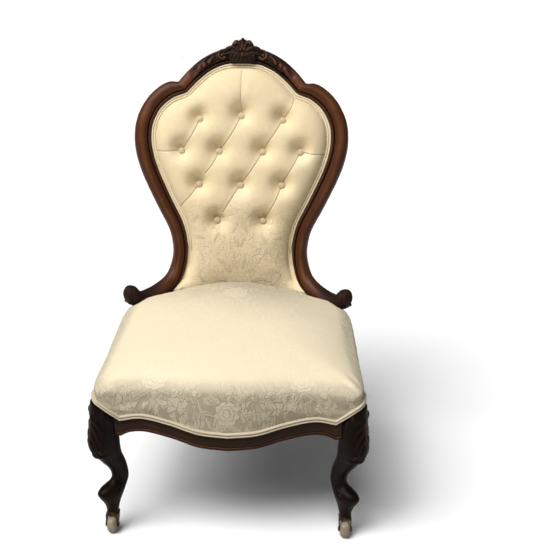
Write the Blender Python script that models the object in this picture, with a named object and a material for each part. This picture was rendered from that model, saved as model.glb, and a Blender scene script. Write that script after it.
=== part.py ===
"""Grandmother chair: a low upholstered spoon-back chair on four porcelain casters.

Metres, +Z up, the sitter faces -Y and +X is on the right of someone looking at the front.
Lengths along Y are first measured from the line on which the front wheels stand. At the end
the whole chair hangs on one empty, which puts the origin under the middle of the chair.
"""
import math

import bmesh
import bpy
import numpy as np
from mathutils import Matrix, Vector
from mathutils.bvhtree import BVHTree

# Fits
FIT_GAP = 0.0003          # between pieces that touch or are glued
RUN_GAP = 0.0006          # round a shaft that turns
CLOTH_GAP = 0.0006        # between stuffed cloth and the wood it meets

# Casters
WHEEL_RADIUS = 0.019
WHEEL_WIDTH = 0.021
WHEEL_TREAD = 0.013       # flat width of the rim
WHEEL_SHOULDER = 0.0045   # how far the rim falls away to its faces
WHEEL_SIDES = 18
AXLE_RADIUS = 0.003
AXLE_HEAD_RADIUS = 0.0045
AXLE_HEAD = 0.0012
CHEEK = 0.0026
CHEEK_EYE = 0.0065
BRIDGE = 0.0036
TYRE_ROOM = 0.0015        # between the wheel and the bridge of its fork
SIDE_ROOM = 0.0007        # between the wheel and each cheek
CASTER_TRAIL = 0.012
STEM_RADIUS = 0.004
STEM_LENGTH = 0.018
PLATE_RADIUS = 0.0122
PLATE_THICKNESS = 0.0032

# Seat frame
RAIL_TOP = 0.325
RAIL_THICKNESS = 0.034
RAIL_SETBACK = 0.004      # show wood behind the edge of the upholstery
RAIL_LIP = 0.022          # thickness of the show wood below the webbing
SHOW_WOOD = 0.0315        # height of the wood that shows below the piping
BEAD = 0.006              # bead along the lower edge of the show wood
WEB_DROP = 0.059          # rails' top to the ledge that the webbing is tacked to
LIP_DROP = 0.006          # least drop of the show wood below that ledge
CORNER_BLOCK = 0.024
CORNER_BLOCK_HEIGHT = 0.035
CORNER_REACH = 0.090      # from a leg's axis to where its block meets the rails
REAR_RAIL_THICKNESS = 0.028

# Seat upholstery
SEAT_HALF_WIDTH = 0.2905
SEAT_FRONT_BOW = 0.046    # middle of the front edge, ahead of the wheels
SEAT_DEPTH = 0.484
SEAT_CROWN = 0.103        # middle of the seat above the rails
SKIRT = 0.010             # padding that hangs over the outside of the rails
SKIRT_ROOM = 0.001        # between that padding and the rails
SEAT_SWELL = 0.004        # how far the sides swell out
# Sides and roll of the seat: share of the way from hem to edge, then how far in and up from
# there, both in swells
SEAT_ROLL = ((0.45, -0.8, 0.0), (0.75, -1.0, 0.0), (1.0, 1.2, 0.0), (1.0, 4.5, 2.6))
SEAT_RINGS = (0.76, 0.46, 0.16)   # shares of the seat's outline up the crown
SEAT_DOME = 0.9           # less makes a flatter top
CORD_HEIGHT = 0.011       # two cords sewn side by side
CORD_DEPTH = 0.0052
WEB_THICKNESS = 0.002
WEB_WIDTH = 0.05
COVER_THICKNESS = 0.001
COVER_LAP = 0.022         # dust cover under the rear rail
CANVAS_THICKNESS = 0.0015
CANVAS_LEAVES = 0.92      # share of the seat where the canvas leaves the rails
CANVAS_TOP = 0.80         # share of the seat where it reaches the tops of the springs
CANVAS_ROOM = 0.02        # the hollow above it is wider by this share
SPRING_WIRE = 0.0036
SPRING_RADIUS = 0.040
SPRING_WAIST = 0.030
SPRING_TURNS = 4
SPRING_HEIGHT = 0.079
# Shares of the half width inside the rails and of the seat's depth
SPRING_PLACES = ((-0.42, 0.26), (0.42, 0.26), (0.0, 0.5), (-0.42, 0.74), (0.42, 0.74))

# Half plan of the seat's edge from the middle of the front to the middle of the back.
# Share of the half width, share of the depth, then heights above the rails' top: the hem,
# where the piping runs, and the edge, where the side rolls over into the top.
SEAT_EDGE = (
    (0.000, 0.000, -0.0615, 0.041),
    (0.207, 0.008, -0.0565, 0.040),
    (0.413, 0.031, -0.0415, 0.037),
    (0.620, 0.049, -0.0315, 0.033),
    (0.781, 0.053, -0.0385, 0.029),
    (0.888, 0.054, -0.0185, 0.026),
    (0.973, 0.077, -0.0040, 0.025),
    (1.000, 0.157, -0.0040, 0.025),
    (0.990, 0.281, -0.0190, 0.027),
    (0.962, 0.467, -0.0290, 0.032),
    (0.924, 0.665, -0.0310, 0.042),
    (0.892, 0.845, -0.0250, 0.056),
    (0.795, 0.918, 0.0062, 0.066),
    (0.610, 0.958, 0.0062, 0.078),
    (0.410, 0.985, 0.0062, 0.086),
    (0.207, 0.998, 0.0062, 0.088),
    (0.000, 1.000, 0.0062, 0.088),
)
PIPED_ROWS = 11           # rows of that edge which carry the piping

# Front legs, set on the diagonal of the seat's corner: share of the height, shift out along the
# diagonal, half size along it and half size across it
LEG_INSET = 0.036         # leg axis inside the widest part of the seat
LEG_SET = 0.012           # leg axis behind the wheels' line
LEG_BLOCK = 0.033         # square top of a leg inside the upholstery
KNEE_DROP = 0.025         # rails' top to the height that the shares below are taken of
FRONT_LEG = (
    (0.000, 0.0000, 0.0125, 0.0125),
    (0.050, 0.0000, 0.0152, 0.0144),
    (0.100, 0.0009, 0.0205, 0.0164),
    (0.150, 0.0022, 0.0279, 0.0197),
    (0.195, 0.0017, 0.0334, 0.0207),
    (0.235, -0.0054, 0.0326, 0.0180),
    (0.265, -0.0158, 0.0259, 0.0150),
    (0.285, -0.0203, 0.0226, 0.0144),
    (0.310, -0.0228, 0.0203, 0.0146),
    (0.360, -0.0215, 0.0198, 0.0160),
    (0.420, -0.0156, 0.0220, 0.0178),
    (0.480, -0.0065, 0.0260, 0.0198),
    (0.540, 0.0030, 0.0290, 0.0220),
    (0.580, 0.0090, 0.0322, 0.0245),
    (0.620, 0.0127, 0.0342, 0.0265),
    (0.680, 0.0158, 0.0356, 0.0288),
    (0.760, 0.0165, 0.0345, 0.0300),
    (0.860, 0.0150, 0.0320, 0.0300),
)
KNEE_RIM_SHIFT = 0.0115
KNEE_RIM = 0.029
RIM_ROOM = 0.002          # between the rim of the knee and the hem above it
SQUARENESS = 2.6          # 2 is a round leg, more is squarer

# Rear legs: half sizes from the foot up, and how far the foot stands behind the top
REAR_LEG_TOP_HALF = 0.020
REAR_LEG_FOOT_HALF = 0.0125
REAR_LEG_RAKE = 0.140
REAR_LEG_TOE_IN = 0.017
REAR_ANKLE = 0.026        # upright stretch above the caster
# Sweep of a rear leg from the foot up: shares of the fall, of the way in to the top's place
# and of the swelling from the foot's size to the top's
REAR_LEG_SWEEP = ((1.0, 0.0, 0.0), (0.78, 0.3, 0.25), (0.5, 0.72, 0.6), (0.22, 0.97, 0.93), (0.0, 1.0, 1.0))

# Back frame, on a surface that leans back more the higher it goes
BACK_SET = 0.052          # the surface at the waist behind the rear edge of the seat
BACK_LEAN = 0.08
BACK_CURVE = 0.378
WAIST_Z = 0.500
FRAME_HALF_DEPTH = 0.018
JOINT_X = 0.1445          # mitre of stile and crest, middle of its length
JOINT_DROP = 0.074        # the mitre below the middle of the crest
JOINT_HALF = 0.0168
JOINT_ANGLE = math.radians(50.7)
CREST_Z = 0.955
CREST_HALF = 0.020
STILE_HALF = 0.0205
SCROLL_HALF = 0.0205
# Stile from the mitre to the scroll: x, z, distance ahead of the back surface, turn outwards
STILE_PATH = (
    (0.1780, 0.8725, 0.000, 0.00),
    (0.2115, 0.8455, 0.000, 0.00),
    (0.2335, 0.8060, 0.000, 0.00),
    (0.2393, 0.7670, 0.000, 0.00),
    (0.2345, 0.7270, 0.000, 0.00),
    (0.2185, 0.6795, 0.000, 0.00),
    (0.1860, 0.6110, 0.000, 0.00),
    (0.1570, 0.5520, 0.000, 0.00),
    (0.1475, 0.5020, 0.000, 0.00),
    (0.1510, 0.4620, 0.006, 0.05),
    (0.1645, 0.4275, 0.024, 0.20),
    (0.1920, 0.4060, 0.051, 0.50),
    (0.2235, 0.3955, 0.078, 0.80),
    (0.2430, 0.3990, 0.096, 0.90),
    (0.2550, 0.4100, 0.108, 0.90),
)
STILE_SLIM = 0.0022       # the stile is slimmer below the lobes
# Crest from its middle to the mitre: x, and how far it has fallen
CREST_PATH = (
    (0.045, 0.0045),
    (0.085, 0.0210),
    (0.118, 0.0465),
)
# Section of stile and crest in half widths (outwards) and half depths (rearwards)
MOULDING = (
    (1.00, 0.15), (0.88, 0.75), (0.55, 1.00), (-0.55, 1.00), (-1.00, 0.95), (-1.00, -0.30),
    (-0.86, -0.62), (-0.66, -0.55), (-0.45, -0.88), (0.00, -1.00), (0.50, -0.88), (0.88, -0.45),
)
ROUND_ANGLES = (9, 42, 65, 115, 150, 195, 215, 230, 246, 270, 300, 330)
# Half outline of the carved crest leaf, x and height above the middle of the crest rail
CARVING = (
    (0.000, 0.033), (0.010, 0.028), (0.018, 0.025), (0.026, 0.028), (0.032, 0.021),
    (0.031, 0.014), (0.046, 0.012), (0.052, 0.002), (0.043, -0.006), (0.028, -0.006),
    (0.018, -0.015), (0.000, -0.019),
)
CARVING_RELIEF = 0.013
CARVING_CROWN = 0.62      # share of the outline left at the front of the relief

# Back upholstery
PAD_BOTTOM = 0.392
PAD_EDGE = 0.004          # edge of the pad ahead of the back surface
PAD_FLAT = 0.0130         # flat margin that the piping covers
PAD_CROWN = 0.032
PAD_ROLL = 0.070          # width over which the edge rolls up to the crown
PAD_TUCK = 0.35           # share of the crown left at the bottom edge
FLAT_TOP = 0.95           # shares of the flat margin where the pad's grid first bends
FLAT_SIDE = 0.7
PAD_ROWS = 31
PAD_COLUMNS = 25
CANVAS_SET = 0.0025       # back canvas behind the back surface
LOWER_RAIL_Z = 0.476
LOWER_RAIL_HEIGHT = 0.036
LOWER_RAIL_THICKNESS = 0.012
PANEL_LAP = 0.012         # outside back over the frame
PANEL_THICKNESS = 0.003
PANEL_ROWS = 13
PANEL_COLUMNS = 7
BUTTON_RADIUS = 0.0085
BUTTON_HEIGHT = 0.006
BUTTON_SIDES = 9
TUFT_DEPTH = 0.021
TUFT_RADIUS = 0.019
PLEAT_DEPTH = 0.006
PLEAT_RADIUS = 0.010
# Rows of buttons from the top: height, rise of the middle one, places across
TUFT_ROWS = (
    (0.8105, 0.0085, (-0.100, 0.0, 0.100)),
    (0.7370, 0.0, (-0.1435, -0.0525, 0.0525, 0.1435)),
    (0.6590, 0.0, (-0.100, 0.0, 0.100)),
    (0.5740, 0.0, (-0.0555, 0.0555)),
)

# Worked-out places
AXLE_Z = WHEEL_RADIUS * math.cos(math.pi / WHEEL_SIDES)
BRIDGE_Z = AXLE_Z + WHEEL_RADIUS + TYRE_ROOM
FORK_TOP = BRIDGE_Z + BRIDGE
PLATE_Z = FORK_TOP + FIT_GAP
LEG_FOOT = PLATE_Z + PLATE_THICKNESS + FIT_GAP
STEM_TOP = FORK_TOP + STEM_LENGTH
FORK_HALF = WHEEL_WIDTH / 2 + SIDE_ROOM + CHEEK
LEG_X = SEAT_HALF_WIDTH - LEG_INSET
WEB_Z = RAIL_TOP - WEB_DROP
KNEE_TOP = RAIL_TOP - KNEE_DROP
JOINT_Z = CREST_Z - JOINT_DROP
RAIL_REACH = LEG_X - LEG_BLOCK / 2 - FIT_GAP
SEAT_BACK_Y = SEAT_DEPTH - SEAT_FRONT_BOW
BACK_Y = SEAT_BACK_Y + BACK_SET
SIDES = (("left", -1), ("right", 1))


# Small tools

def finish(colour, roughness, metallic=0.0):
    return {"colour": colour, "roughness": roughness, "metallic": metallic}


WALNUT = finish((0.085, 0.022, 0.010), 0.28)
BEECH = finish((0.42, 0.27, 0.14), 0.65)
DAMASK = finish((0.78, 0.66, 0.46), 0.85)
HESSIAN = finish((0.36, 0.26, 0.15), 0.95)
BLACK_CLOTH = finish((0.03, 0.03, 0.03), 0.9)
STEEL = finish((0.45, 0.43, 0.40), 0.4, 1.0)
BRASS = finish((0.42, 0.28, 0.10), 0.38, 1.0)
PORCELAIN = finish((0.80, 0.76, 0.66), 0.15)


def paint(data, name, look):
    material = bpy.data.materials.new(name)
    material.use_nodes = True
    shader = material.node_tree.nodes["Principled BSDF"]
    shader.inputs["Base Color"].default_value = (*look["colour"], 1.0)
    shader.inputs["Roughness"].default_value = look["roughness"]
    shader.inputs["Metallic"].default_value = look["metallic"]
    data.materials.clear()
    data.materials.append(material)


def add(name, data, look, parent):
    """Put a mesh or curve into the scene as one named piece."""
    piece = bpy.data.objects.new(name, data)
    bpy.context.scene.collection.objects.link(piece)
    piece.parent = parent
    paint(data, name, look)
    return piece


def shaded(mesh, angle=42):
    mesh.shade_smooth()
    mesh.set_sharp_from_angle(angle=math.radians(angle))
    return mesh


def mesh_from(bm):
    bmesh.ops.remove_doubles(bm, verts=bm.verts, dist=1e-7)
    bmesh.ops.recalc_face_normals(bm, faces=bm.faces)
    bmesh.ops.triangulate(bm, faces=bm.faces)
    mesh = bpy.data.meshes.new("piece")
    bm.to_mesh(mesh)
    bm.free()
    return shaded(mesh)


def loft(rings, closed_path=False):
    """Skin closed rings of equally many points; an open path gets a face at each end."""
    bm = bmesh.new()
    loops = [[bm.verts.new(point) for point in ring] for ring in rings]
    pairs = list(zip(loops, loops[1:]))
    if closed_path:
        pairs.append((loops[-1], loops[0]))
    for lower, upper in pairs:
        for i in range(len(lower)):
            j = (i + 1) % len(lower)
            bm.faces.new((lower[i], lower[j], upper[j], upper[i]))
    if not closed_path:
        bm.faces.new(loops[0])
        bm.faces.new(loops[-1])
    return mesh_from(bm)


def grid_loft(rings, columns):
    """Skin rings that hold a front row and a rear row, with narrow faces closing both ends."""
    bm = bmesh.new()
    loops = [[bm.verts.new(point) for point in ring] for ring in rings]
    for lower, upper in zip(loops, loops[1:]):
        for i in range(len(lower)):
            j = (i + 1) % len(lower)
            bm.faces.new((lower[i], lower[j], upper[j], upper[i]))
    for loop in (loops[0], loops[-1]):
        for i in range(columns - 1):
            bm.faces.new((loop[i], loop[i + 1], loop[-2 - i], loop[-1 - i]))
    return mesh_from(bm)


def turned(profile, sides, axis="Z"):
    """Turn (radius, height) points of a closed section round an axis."""
    rings = []
    for k in range(sides):
        angle = (k + 0.5) * 2 * math.pi / sides
        c, s = math.cos(angle), math.sin(angle)
        if axis == "Z":
            rings.append([(r * c, r * s, h) for r, h in profile])
        else:
            rings.append([(h, r * s, r * c) for r, h in profile])
    return loft(rings, closed_path=True)


def rod(radius, low, high, sides=12, axis="Z"):
    rings = []
    for h in (low, high):
        ring = []
        for k in range(sides):
            angle = (k + 0.5) * 2 * math.pi / sides
            c, s = radius * math.cos(angle), radius * math.sin(angle)
            ring.append((c, s, h) if axis == "Z" else (h, c, s))
        rings.append(ring)
    return loft(rings)


def prism(outline, low, high, axis):
    """Extrude an outline between two places on an axis; the outline holds the other two."""
    def point(a, b, h):
        return (h, a, b) if axis == "X" else (a, b, h)
    return loft([[point(a, b, h) for a, b in outline] for h in (low, high)])


def smooth(points, steps):
    """Points on a smooth curve through the given ones, with any number of columns."""
    rows = np.array(points, dtype=float)
    rows = np.vstack((2 * rows[0] - rows[1], rows, 2 * rows[-1] - rows[-2]))
    out = []
    for a, b, c, d in zip(rows, rows[1:], rows[2:], rows[3:]):
        for t in np.arange(steps) / steps:
            out.append(0.5 * (2 * b + (c - a) * t + (2 * a - 5 * b + 4 * c - d) * t ** 2
                              + (3 * b - a - 3 * c + d) * t ** 3))
    out.append(rows[-2])
    return np.array(out)


def unit(vector):
    return np.array(vector) / np.linalg.norm(vector)


def bake(piece):
    graph = bpy.context.evaluated_depsgraph_get()
    mesh = bpy.data.meshes.new_from_object(piece.evaluated_get(graph))
    piece.modifiers.clear()
    piece.data = mesh


def boolean(target, mesh, operation, place=(0, 0, 0)):
    """Cut a mesh out of a piece, or join it on."""
    tool = bpy.data.objects.new("tool", mesh)
    bpy.context.scene.collection.objects.link(tool)
    tool.location = place
    tool.hide_render = True
    tool.display_type = "WIRE"
    modifier = target.modifiers.new("fit", "BOOLEAN")
    modifier.operation = operation
    modifier.solver = "EXACT"
    modifier.object = tool
    bake(target)
    shaded(target.data)
    bpy.data.objects.remove(tool)


def grown(piece, gap):
    """A copy of a piece's mesh with every face moved out by the gap."""
    bm = bmesh.new()
    bm.from_mesh(piece.data)
    bm.normal_update()
    shifts = [v.normal * v.calc_shell_factor() * gap for v in bm.verts]
    for vert, shift in zip(bm.verts, shifts):
        vert.co += shift
    mesh = bpy.data.meshes.new("grown")
    bm.to_mesh(mesh)
    bm.free()
    return mesh


def fit(target, *neighbours, gap=FIT_GAP):
    for neighbour in neighbours:
        boolean(target, grown(neighbour, gap), "DIFFERENCE")


# Seat outline

def seat_curve(steps):
    """Half edge of the seat as x, y, hem height and edge height."""
    rows = []
    for share_x, share_y, hem, edge in SEAT_EDGE:
        x = share_x * SEAT_HALF_WIDTH
        y = share_y * SEAT_DEPTH - SEAT_FRONT_BOW
        rows.append((x, y, RAIL_TOP + hem, RAIL_TOP + edge))
    half = smooth(rows, steps)
    half[0, 0] = 0.0
    half[-1, 0] = 0.0
    return half


def whole_loop(half):
    """Close a half edge into a loop, seen from above it runs to the right along the front."""
    mirrored = half[-2:0:-1].copy()
    mirrored[:, 0] *= -1
    return np.vstack((half, mirrored))


def outward(loop):
    """Unit vectors in plan that point out of the loop."""
    along = np.roll(loop, -1, axis=0)[:, :2] - np.roll(loop, 1, axis=0)[:, :2]
    along /= np.linalg.norm(along, axis=1)[:, None]
    return np.column_stack((along[:, 1], -along[:, 0]))


SEAT_STEPS = 2
SEAT_HALF_EDGE = seat_curve(SEAT_STEPS)
SEAT_FINE = seat_curve(8)
SEAT_LOOP = whole_loop(SEAT_HALF_EDGE)
SEAT_OUT = outward(SEAT_LOOP)
SEAT_MIDDLE = np.array((0.0, SEAT_BACK_Y / 2))


def hem_near(x, y):
    """Height of the hem at the nearest place on the seat's edge."""
    gaps = (SEAT_FINE[:, 0] - abs(x)) ** 2 + (SEAT_FINE[:, 1] - y) ** 2
    return SEAT_FINE[np.argmin(gaps), 2]


def front_hem(x):
    """Place and height of the hem along the front, by distance from the middle."""
    rows = SEAT_HALF_EDGE[:6 * SEAT_STEPS + 1]
    return np.interp(abs(x), rows[:, 0], rows[:, 1]), np.interp(abs(x), rows[:, 0], rows[:, 2])


def side_hem(y):
    """Half width and height of the hem along a side, carried straight on past its last row."""
    rows = SEAT_HALF_EDGE[7 * SEAT_STEPS:PIPED_ROWS * SEAT_STEPS + 1]
    slope = (rows[-1, 0] - rows[-2, 0]) / (rows[-1, 1] - rows[-2, 1])
    x = np.interp(y, rows[:, 1], rows[:, 0]) + slope * max(0.0, y - rows[-1, 1])
    return x, np.interp(y, rows[:, 1], rows[:, 2])


def seat_ring(inset, height):
    """A ring inside the seat's edge; height is one number or one for each point."""
    plan = SEAT_LOOP[:, :2] - SEAT_OUT * inset
    return np.column_stack((plan, np.broadcast_to(height, len(plan))))


# Seat frame

def rail_section(hem):
    """Section of a rail in distance behind the hem's face and height."""
    show_top = hem - CORD_HEIGHT / 2 - FIT_GAP
    low = min(hem - CORD_HEIGHT / 2 - SHOW_WOOD, WEB_Z - LIP_DROP)
    face = RAIL_SETBACK
    rebate = SKIRT + SKIRT_ROOM
    return (
        (face + BEAD / 2, low),
        (face, low + BEAD / 2),
        (face + BEAD / 3, low + BEAD),
        (face, low + BEAD * 1.6),
        (face, show_top),
        (rebate, show_top),
        (rebate, RAIL_TOP),
        (face + RAIL_THICKNESS, RAIL_TOP),
        (face + RAIL_THICKNESS, WEB_Z),
        (face + RAIL_LIP, WEB_Z),
        (face + RAIL_LIP, low),
    )


def front_rail(legs, chair):
    half = [x for x in SEAT_HALF_EDGE[1:6 * SEAT_STEPS, 0] if x < RAIL_REACH] + [RAIL_REACH]
    rings = []
    for x in [-x for x in half[::-1]] + [0.0] + half:
        y, hem = front_hem(x)
        rings.append([(x, y + back, z) for back, z in rail_section(hem)])
    rail = add("front_seat_rail", loft(rings), WALNUT, chair)
    fit(rail, *legs)
    return rail


def side_rail(name, side, legs, rear_y, chair):
    start = LEG_SET + LEG_BLOCK / 2 + FIT_GAP
    middle = SEAT_HALF_EDGE[7 * SEAT_STEPS:PIPED_ROWS * SEAT_STEPS + 1, 1]
    rings = []
    for y in [start] + [y for y in middle if start < y < rear_y] + [rear_y]:
        x, hem = side_hem(y)
        rings.append([(side * (x - back), y, z) for back, z in rail_section(hem)])
    rail = add(name, loft(rings), WALNUT, chair)
    fit(rail, *legs)
    return rail


def rear_rail(legs, leg_place, chair):
    y = rear_rail_front(leg_place)
    outline = ((y, WEB_Z), (y + REAR_RAIL_THICKNESS, WEB_Z),
               (y + REAR_RAIL_THICKNESS, RAIL_TOP), (y, RAIL_TOP))
    rail = add("rear_seat_rail", prism(outline, -leg_place[0], leg_place[0], "X"), BEECH, chair)
    fit(rail, *legs)
    return rail


def rear_rail_front(leg_place):
    return leg_place[1] - REAR_RAIL_THICKNESS / 2


def trim(plan, face):
    """The part of a plan outline inside a face, which runs anticlockwise round the seat."""
    along = unit(np.array(face[-1]) - np.array(face[0]))
    inward = np.array((-along[1], along[0]))
    limit = max(np.dot(point, inward) for point in face) + FIT_GAP
    kept = []
    for a, b in zip(plan, plan[1:] + plan[:1]):
        a_in, b_in = np.dot(a, inward) - limit, np.dot(b, inward) - limit
        if a_in >= 0.0:
            kept.append(a)
        if a_in * b_in < 0.0:
            kept.append(a + (b - a) * a_in / (a_in - b_in))
    return kept


def corner_block(name, side, first_face, second_face, chair):
    """A brace across a corner of the frame, between the inner faces of two rails."""
    start, end = np.array(first_face[1]), np.array(second_face[1])
    along = unit(end - start)
    across = np.array((-along[1], along[0])) * CORNER_BLOCK / 2
    first, last = start - along * RAIL_THICKNESS, end + along * RAIL_THICKNESS
    plan = [first - across, last - across, last + across, first + across]
    outline = [(side * x, y) for x, y in trim(trim(plan, first_face), second_face)]
    low = RAIL_TOP - CORNER_BLOCK_HEIGHT - FIT_GAP
    return add(name, prism(outline, low, RAIL_TOP - FIT_GAP, "Z"), BEECH, chair)


def corner_blocks(leg_place, rear_face, chair):
    inner = RAIL_SETBACK + RAIL_THICKNESS
    spread = (-CORNER_BLOCK, 0.0, CORNER_BLOCK)

    def front_face(x):
        return [(x + step, front_hem(x + step)[0] + inner) for step in spread]

    def side_face(y):
        return [(side_hem(y + step)[0] - inner, y + step) for step in spread]

    front = front_face(LEG_X - CORNER_REACH)
    front_side = side_face(LEG_SET + CORNER_REACH)
    rear_side = side_face(rear_face - CORNER_REACH)
    rear = [(leg_place[0] - CORNER_REACH - step, rear_face) for step in spread]
    for word, side in SIDES:
        corner_block(f"corner_block_front_{word}", side, front, front_side, chair)
        corner_block(f"corner_block_rear_{word}", side, rear_side, rear, chair)


# Legs

def leg_ring(x, y, half, heights, sides=12):
    """A ring between a circle and a square; heights is one number or a function of x and y."""
    ring = []
    for k in range(sides):
        angle = 2 * math.pi * k / sides
        c, s = math.cos(angle), math.sin(angle)
        px = x + half * math.copysign(abs(c) ** (2 / SQUARENESS), c)
        py = y + half * math.copysign(abs(s) ** (2 / SQUARENESS), s)
        ring.append((px, py, heights(px, py) if callable(heights) else heights))
    return ring


def knee_ring(side, shift, half, wide, heights, sides=12):
    """A ring of a front leg, longer along the diagonal of the seat's corner than across it."""
    diagonal = math.atan2(-1.0, side)
    out = (math.cos(diagonal), math.sin(diagonal))
    ring = []
    for k in range(sides):
        angle = 2 * math.pi * k / sides - diagonal
        along = shift + half * math.cos(angle)
        across = wide * math.sin(angle)
        px = side * LEG_X + out[0] * along - out[1] * across
        py = LEG_SET + out[1] * along + out[0] * across
        ring.append((px, py, heights(px, py) if callable(heights) else heights))
    return ring


def drill_stem(leg, x, y):
    hole = rod(STEM_RADIUS + RUN_GAP, LEG_FOOT - RUN_GAP, STEM_TOP + RUN_GAP)
    boolean(leg, hole, "DIFFERENCE", (x, y, 0))


def front_leg(name, side, chair):
    def rim(x, y):
        return hem_near(x, y) - CORD_HEIGHT / 2 - RIM_ROOM
    rings = []
    for share, shift, half, wide in FRONT_LEG:
        z = LEG_FOOT + share * (KNEE_TOP - LEG_FOOT)
        rings.append(knee_ring(side, shift, half, wide, z))
    block = LEG_BLOCK / 2
    rings.append(knee_ring(side, KNEE_RIM_SHIFT, KNEE_RIM, KNEE_RIM, rim))
    rings.append(leg_ring(side * LEG_X, LEG_SET, block, rim))
    rings.append(leg_ring(side * LEG_X, LEG_SET, block, RAIL_TOP))
    leg = add(name, loft(rings), WALNUT, chair)
    drill_stem(leg, side * LEG_X, LEG_SET)
    return leg


def rear_leg(name, side, place, stile, chair):
    """A leg that drops from under the stile, then sweeps back to its caster."""
    x, y, top = place
    knee = RAIL_TOP - RAIL_THICKNESS * 2
    drop = knee - LEG_FOOT - REAR_ANKLE
    rings = [leg_ring(side * (x - REAR_LEG_TOE_IN), y + REAR_LEG_RAKE, REAR_LEG_FOOT_HALF, LEG_FOOT)]
    for fall, near, thick in smooth(REAR_LEG_SWEEP, 2):
        half = REAR_LEG_FOOT_HALF + thick * (REAR_LEG_TOP_HALF - REAR_LEG_FOOT_HALF)
        shift = 1.0 - near
        rings.append(leg_ring(side * (x - shift * REAR_LEG_TOE_IN), y + shift * REAR_LEG_RAKE,
                              half, knee - fall * drop))
    rings.append(leg_ring(side * x, y, REAR_LEG_TOP_HALF, top))
    leg = add(name, loft(rings), WALNUT, chair)
    drill_stem(leg, side * (x - REAR_LEG_TOE_IN), y + REAR_LEG_RAKE)
    fit(leg, stile)
    return leg


# Back frame

def back_y(z):
    return BACK_Y + BACK_LEAN * (z - WAIST_Z) + BACK_CURVE * (z - WAIST_Z) ** 2


def back_normal(z):
    return unit((0.0, 1.0, -(BACK_LEAN + 2 * BACK_CURVE * (z - WAIST_Z))))


def back_point(x, z, behind=0.0):
    """The point of the back surface at x and z, moved straight behind the surface."""
    return np.array((x, back_y(z), z)) + back_normal(z) * behind


def mitre_line():
    """Direction along the joint of stile and crest, and square to it towards the stile."""
    slope = BACK_LEAN + 2 * BACK_CURVE * (JOINT_Z - WAIST_Z)
    c, s = math.cos(JOINT_ANGLE), math.sin(JOINT_ANGLE)
    line = unit((c, slope * s, s))
    return line, np.cross(line, back_normal(JOINT_Z)) * -1


def section(centre, across, behind, half, roundness):
    """One ring of the moulding, which can swell into a round."""
    ring = []
    for (w, d), angle in zip(MOULDING, ROUND_ANGLES):
        a = math.radians(angle)
        w = w + roundness * (math.cos(a) - w)
        d = d + roundness * (math.sin(a) - d)
        depth = FRAME_HALF_DEPTH + roundness * (half - FRAME_HALF_DEPTH)
        ring.append(centre + across * w * half + behind * d * depth)
    return ring


def stile_stations():
    """Centre, direction across, direction behind, half width and roundness down the stile."""
    last = len(STILE_PATH)
    rows = [(JOINT_X, JOINT_Z, 0.0, 0.0, JOINT_HALF, 0.0)]
    for k, (x, z, ahead, turn) in enumerate(STILE_PATH, 1):
        half = STILE_HALF - STILE_SLIM * min(1.0, max(0.0, (k - 5) / 4))
        rows.append((x, z, ahead, turn, half if k < last else SCROLL_HALF, float(k == last)))
    fine = smooth(rows, 2)
    centres = [np.array((x, back_y(z) - ahead, z)) for x, z, ahead, *_ in fine]
    line, square = mitre_line()
    stations = []
    for i, (x, z, ahead, turn, half, roundness) in enumerate(fine):
        along = unit(centres[min(i + 1, len(fine) - 1)] - centres[max(i - 1, 0)])
        behind = unit(back_normal(z) + np.array((turn, 0.0, 0.0)))
        across = unit(np.cross(along, behind))
        behind = np.cross(across, along)
        centre = centres[i]
        if i == 0:
            across, behind = line, back_normal(JOINT_Z)
            centre = centre + square * FIT_GAP / 2
        stations.append((centre, across, behind, half, min(1.0, max(0.0, roundness))))
    tip = unit(centres[-1] - centres[-2])
    centre, across, behind, half, roundness = stations[-1]
    for ahead, share in ((0.55, 0.86), (0.9, 0.52)):
        stations.append((centre + tip * half * ahead, across, behind, half * share, 1.0))
    return stations


STILE = stile_stations()


def crest_stations():
    rows = [(0.0, CREST_Z, CREST_HALF)]
    for k, (x, drop) in enumerate(CREST_PATH, 1):
        share = k / (len(CREST_PATH) + 1)
        rows.append((x, CREST_Z - drop, CREST_HALF + share * (JOINT_HALF - CREST_HALF)))
    rows.append((JOINT_X, JOINT_Z, JOINT_HALF))
    mirrored = [(-x, z, half) for x, z, half in rows[:0:-1]]
    fine = smooth(mirrored + rows, 3)
    line, square = mitre_line()
    flip = np.array((-1.0, 1.0, 1.0))
    stations = []
    for i, (x, z, half) in enumerate(fine):
        before, after = fine[max(i - 1, 0)], fine[min(i + 1, len(fine) - 1)]
        along = unit(back_point(after[0], after[1]) - back_point(before[0], before[1]))
        behind = back_normal(z)
        across = unit(np.cross(along, behind))
        centre = back_point(x, z)
        if i == 0:
            across = line * flip
            centre = centre - square * flip * FIT_GAP / 2
        if i == len(fine) - 1:
            across = line
            centre = centre - square * FIT_GAP / 2
        stations.append((centre, across, behind, half, 0.0))
    return stations


CREST = crest_stations()


def inner_edge():
    """Inner edge of the frame from low on the right up to the middle of the crest, as x and z."""
    points = []
    for centre, across, behind, half, roundness in reversed(STILE[:-6]):
        points.append((centre - across * half)[[0, 2]])
    for centre, across, behind, half, roundness in CREST[len(CREST) // 2:-1][::-1]:
        points.append((centre - across * half)[[0, 2]])
    kept = [points[0]]
    for x, z in points[1:]:
        if z > kept[-1][1]:
            kept.append((x, z))
    return np.array(kept)


INNER = inner_edge()
INNER_TOP = INNER[-1, 1]
CUSP_Z = JOINT_Z - JOINT_HALF * math.sin(JOINT_ANGLE)


def inner_half(z):
    """Half width between the inner edges of the frame at a height."""
    return float(np.interp(z, INNER[:, 1], INNER[:, 0]))


def back_stile(name, side, chair):
    flip = np.array((side, 1.0, 1.0))
    rings = [[p * flip for p in section(*station)] for station in STILE]
    return add(name, loft(rings), WALNUT, chair)


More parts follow.
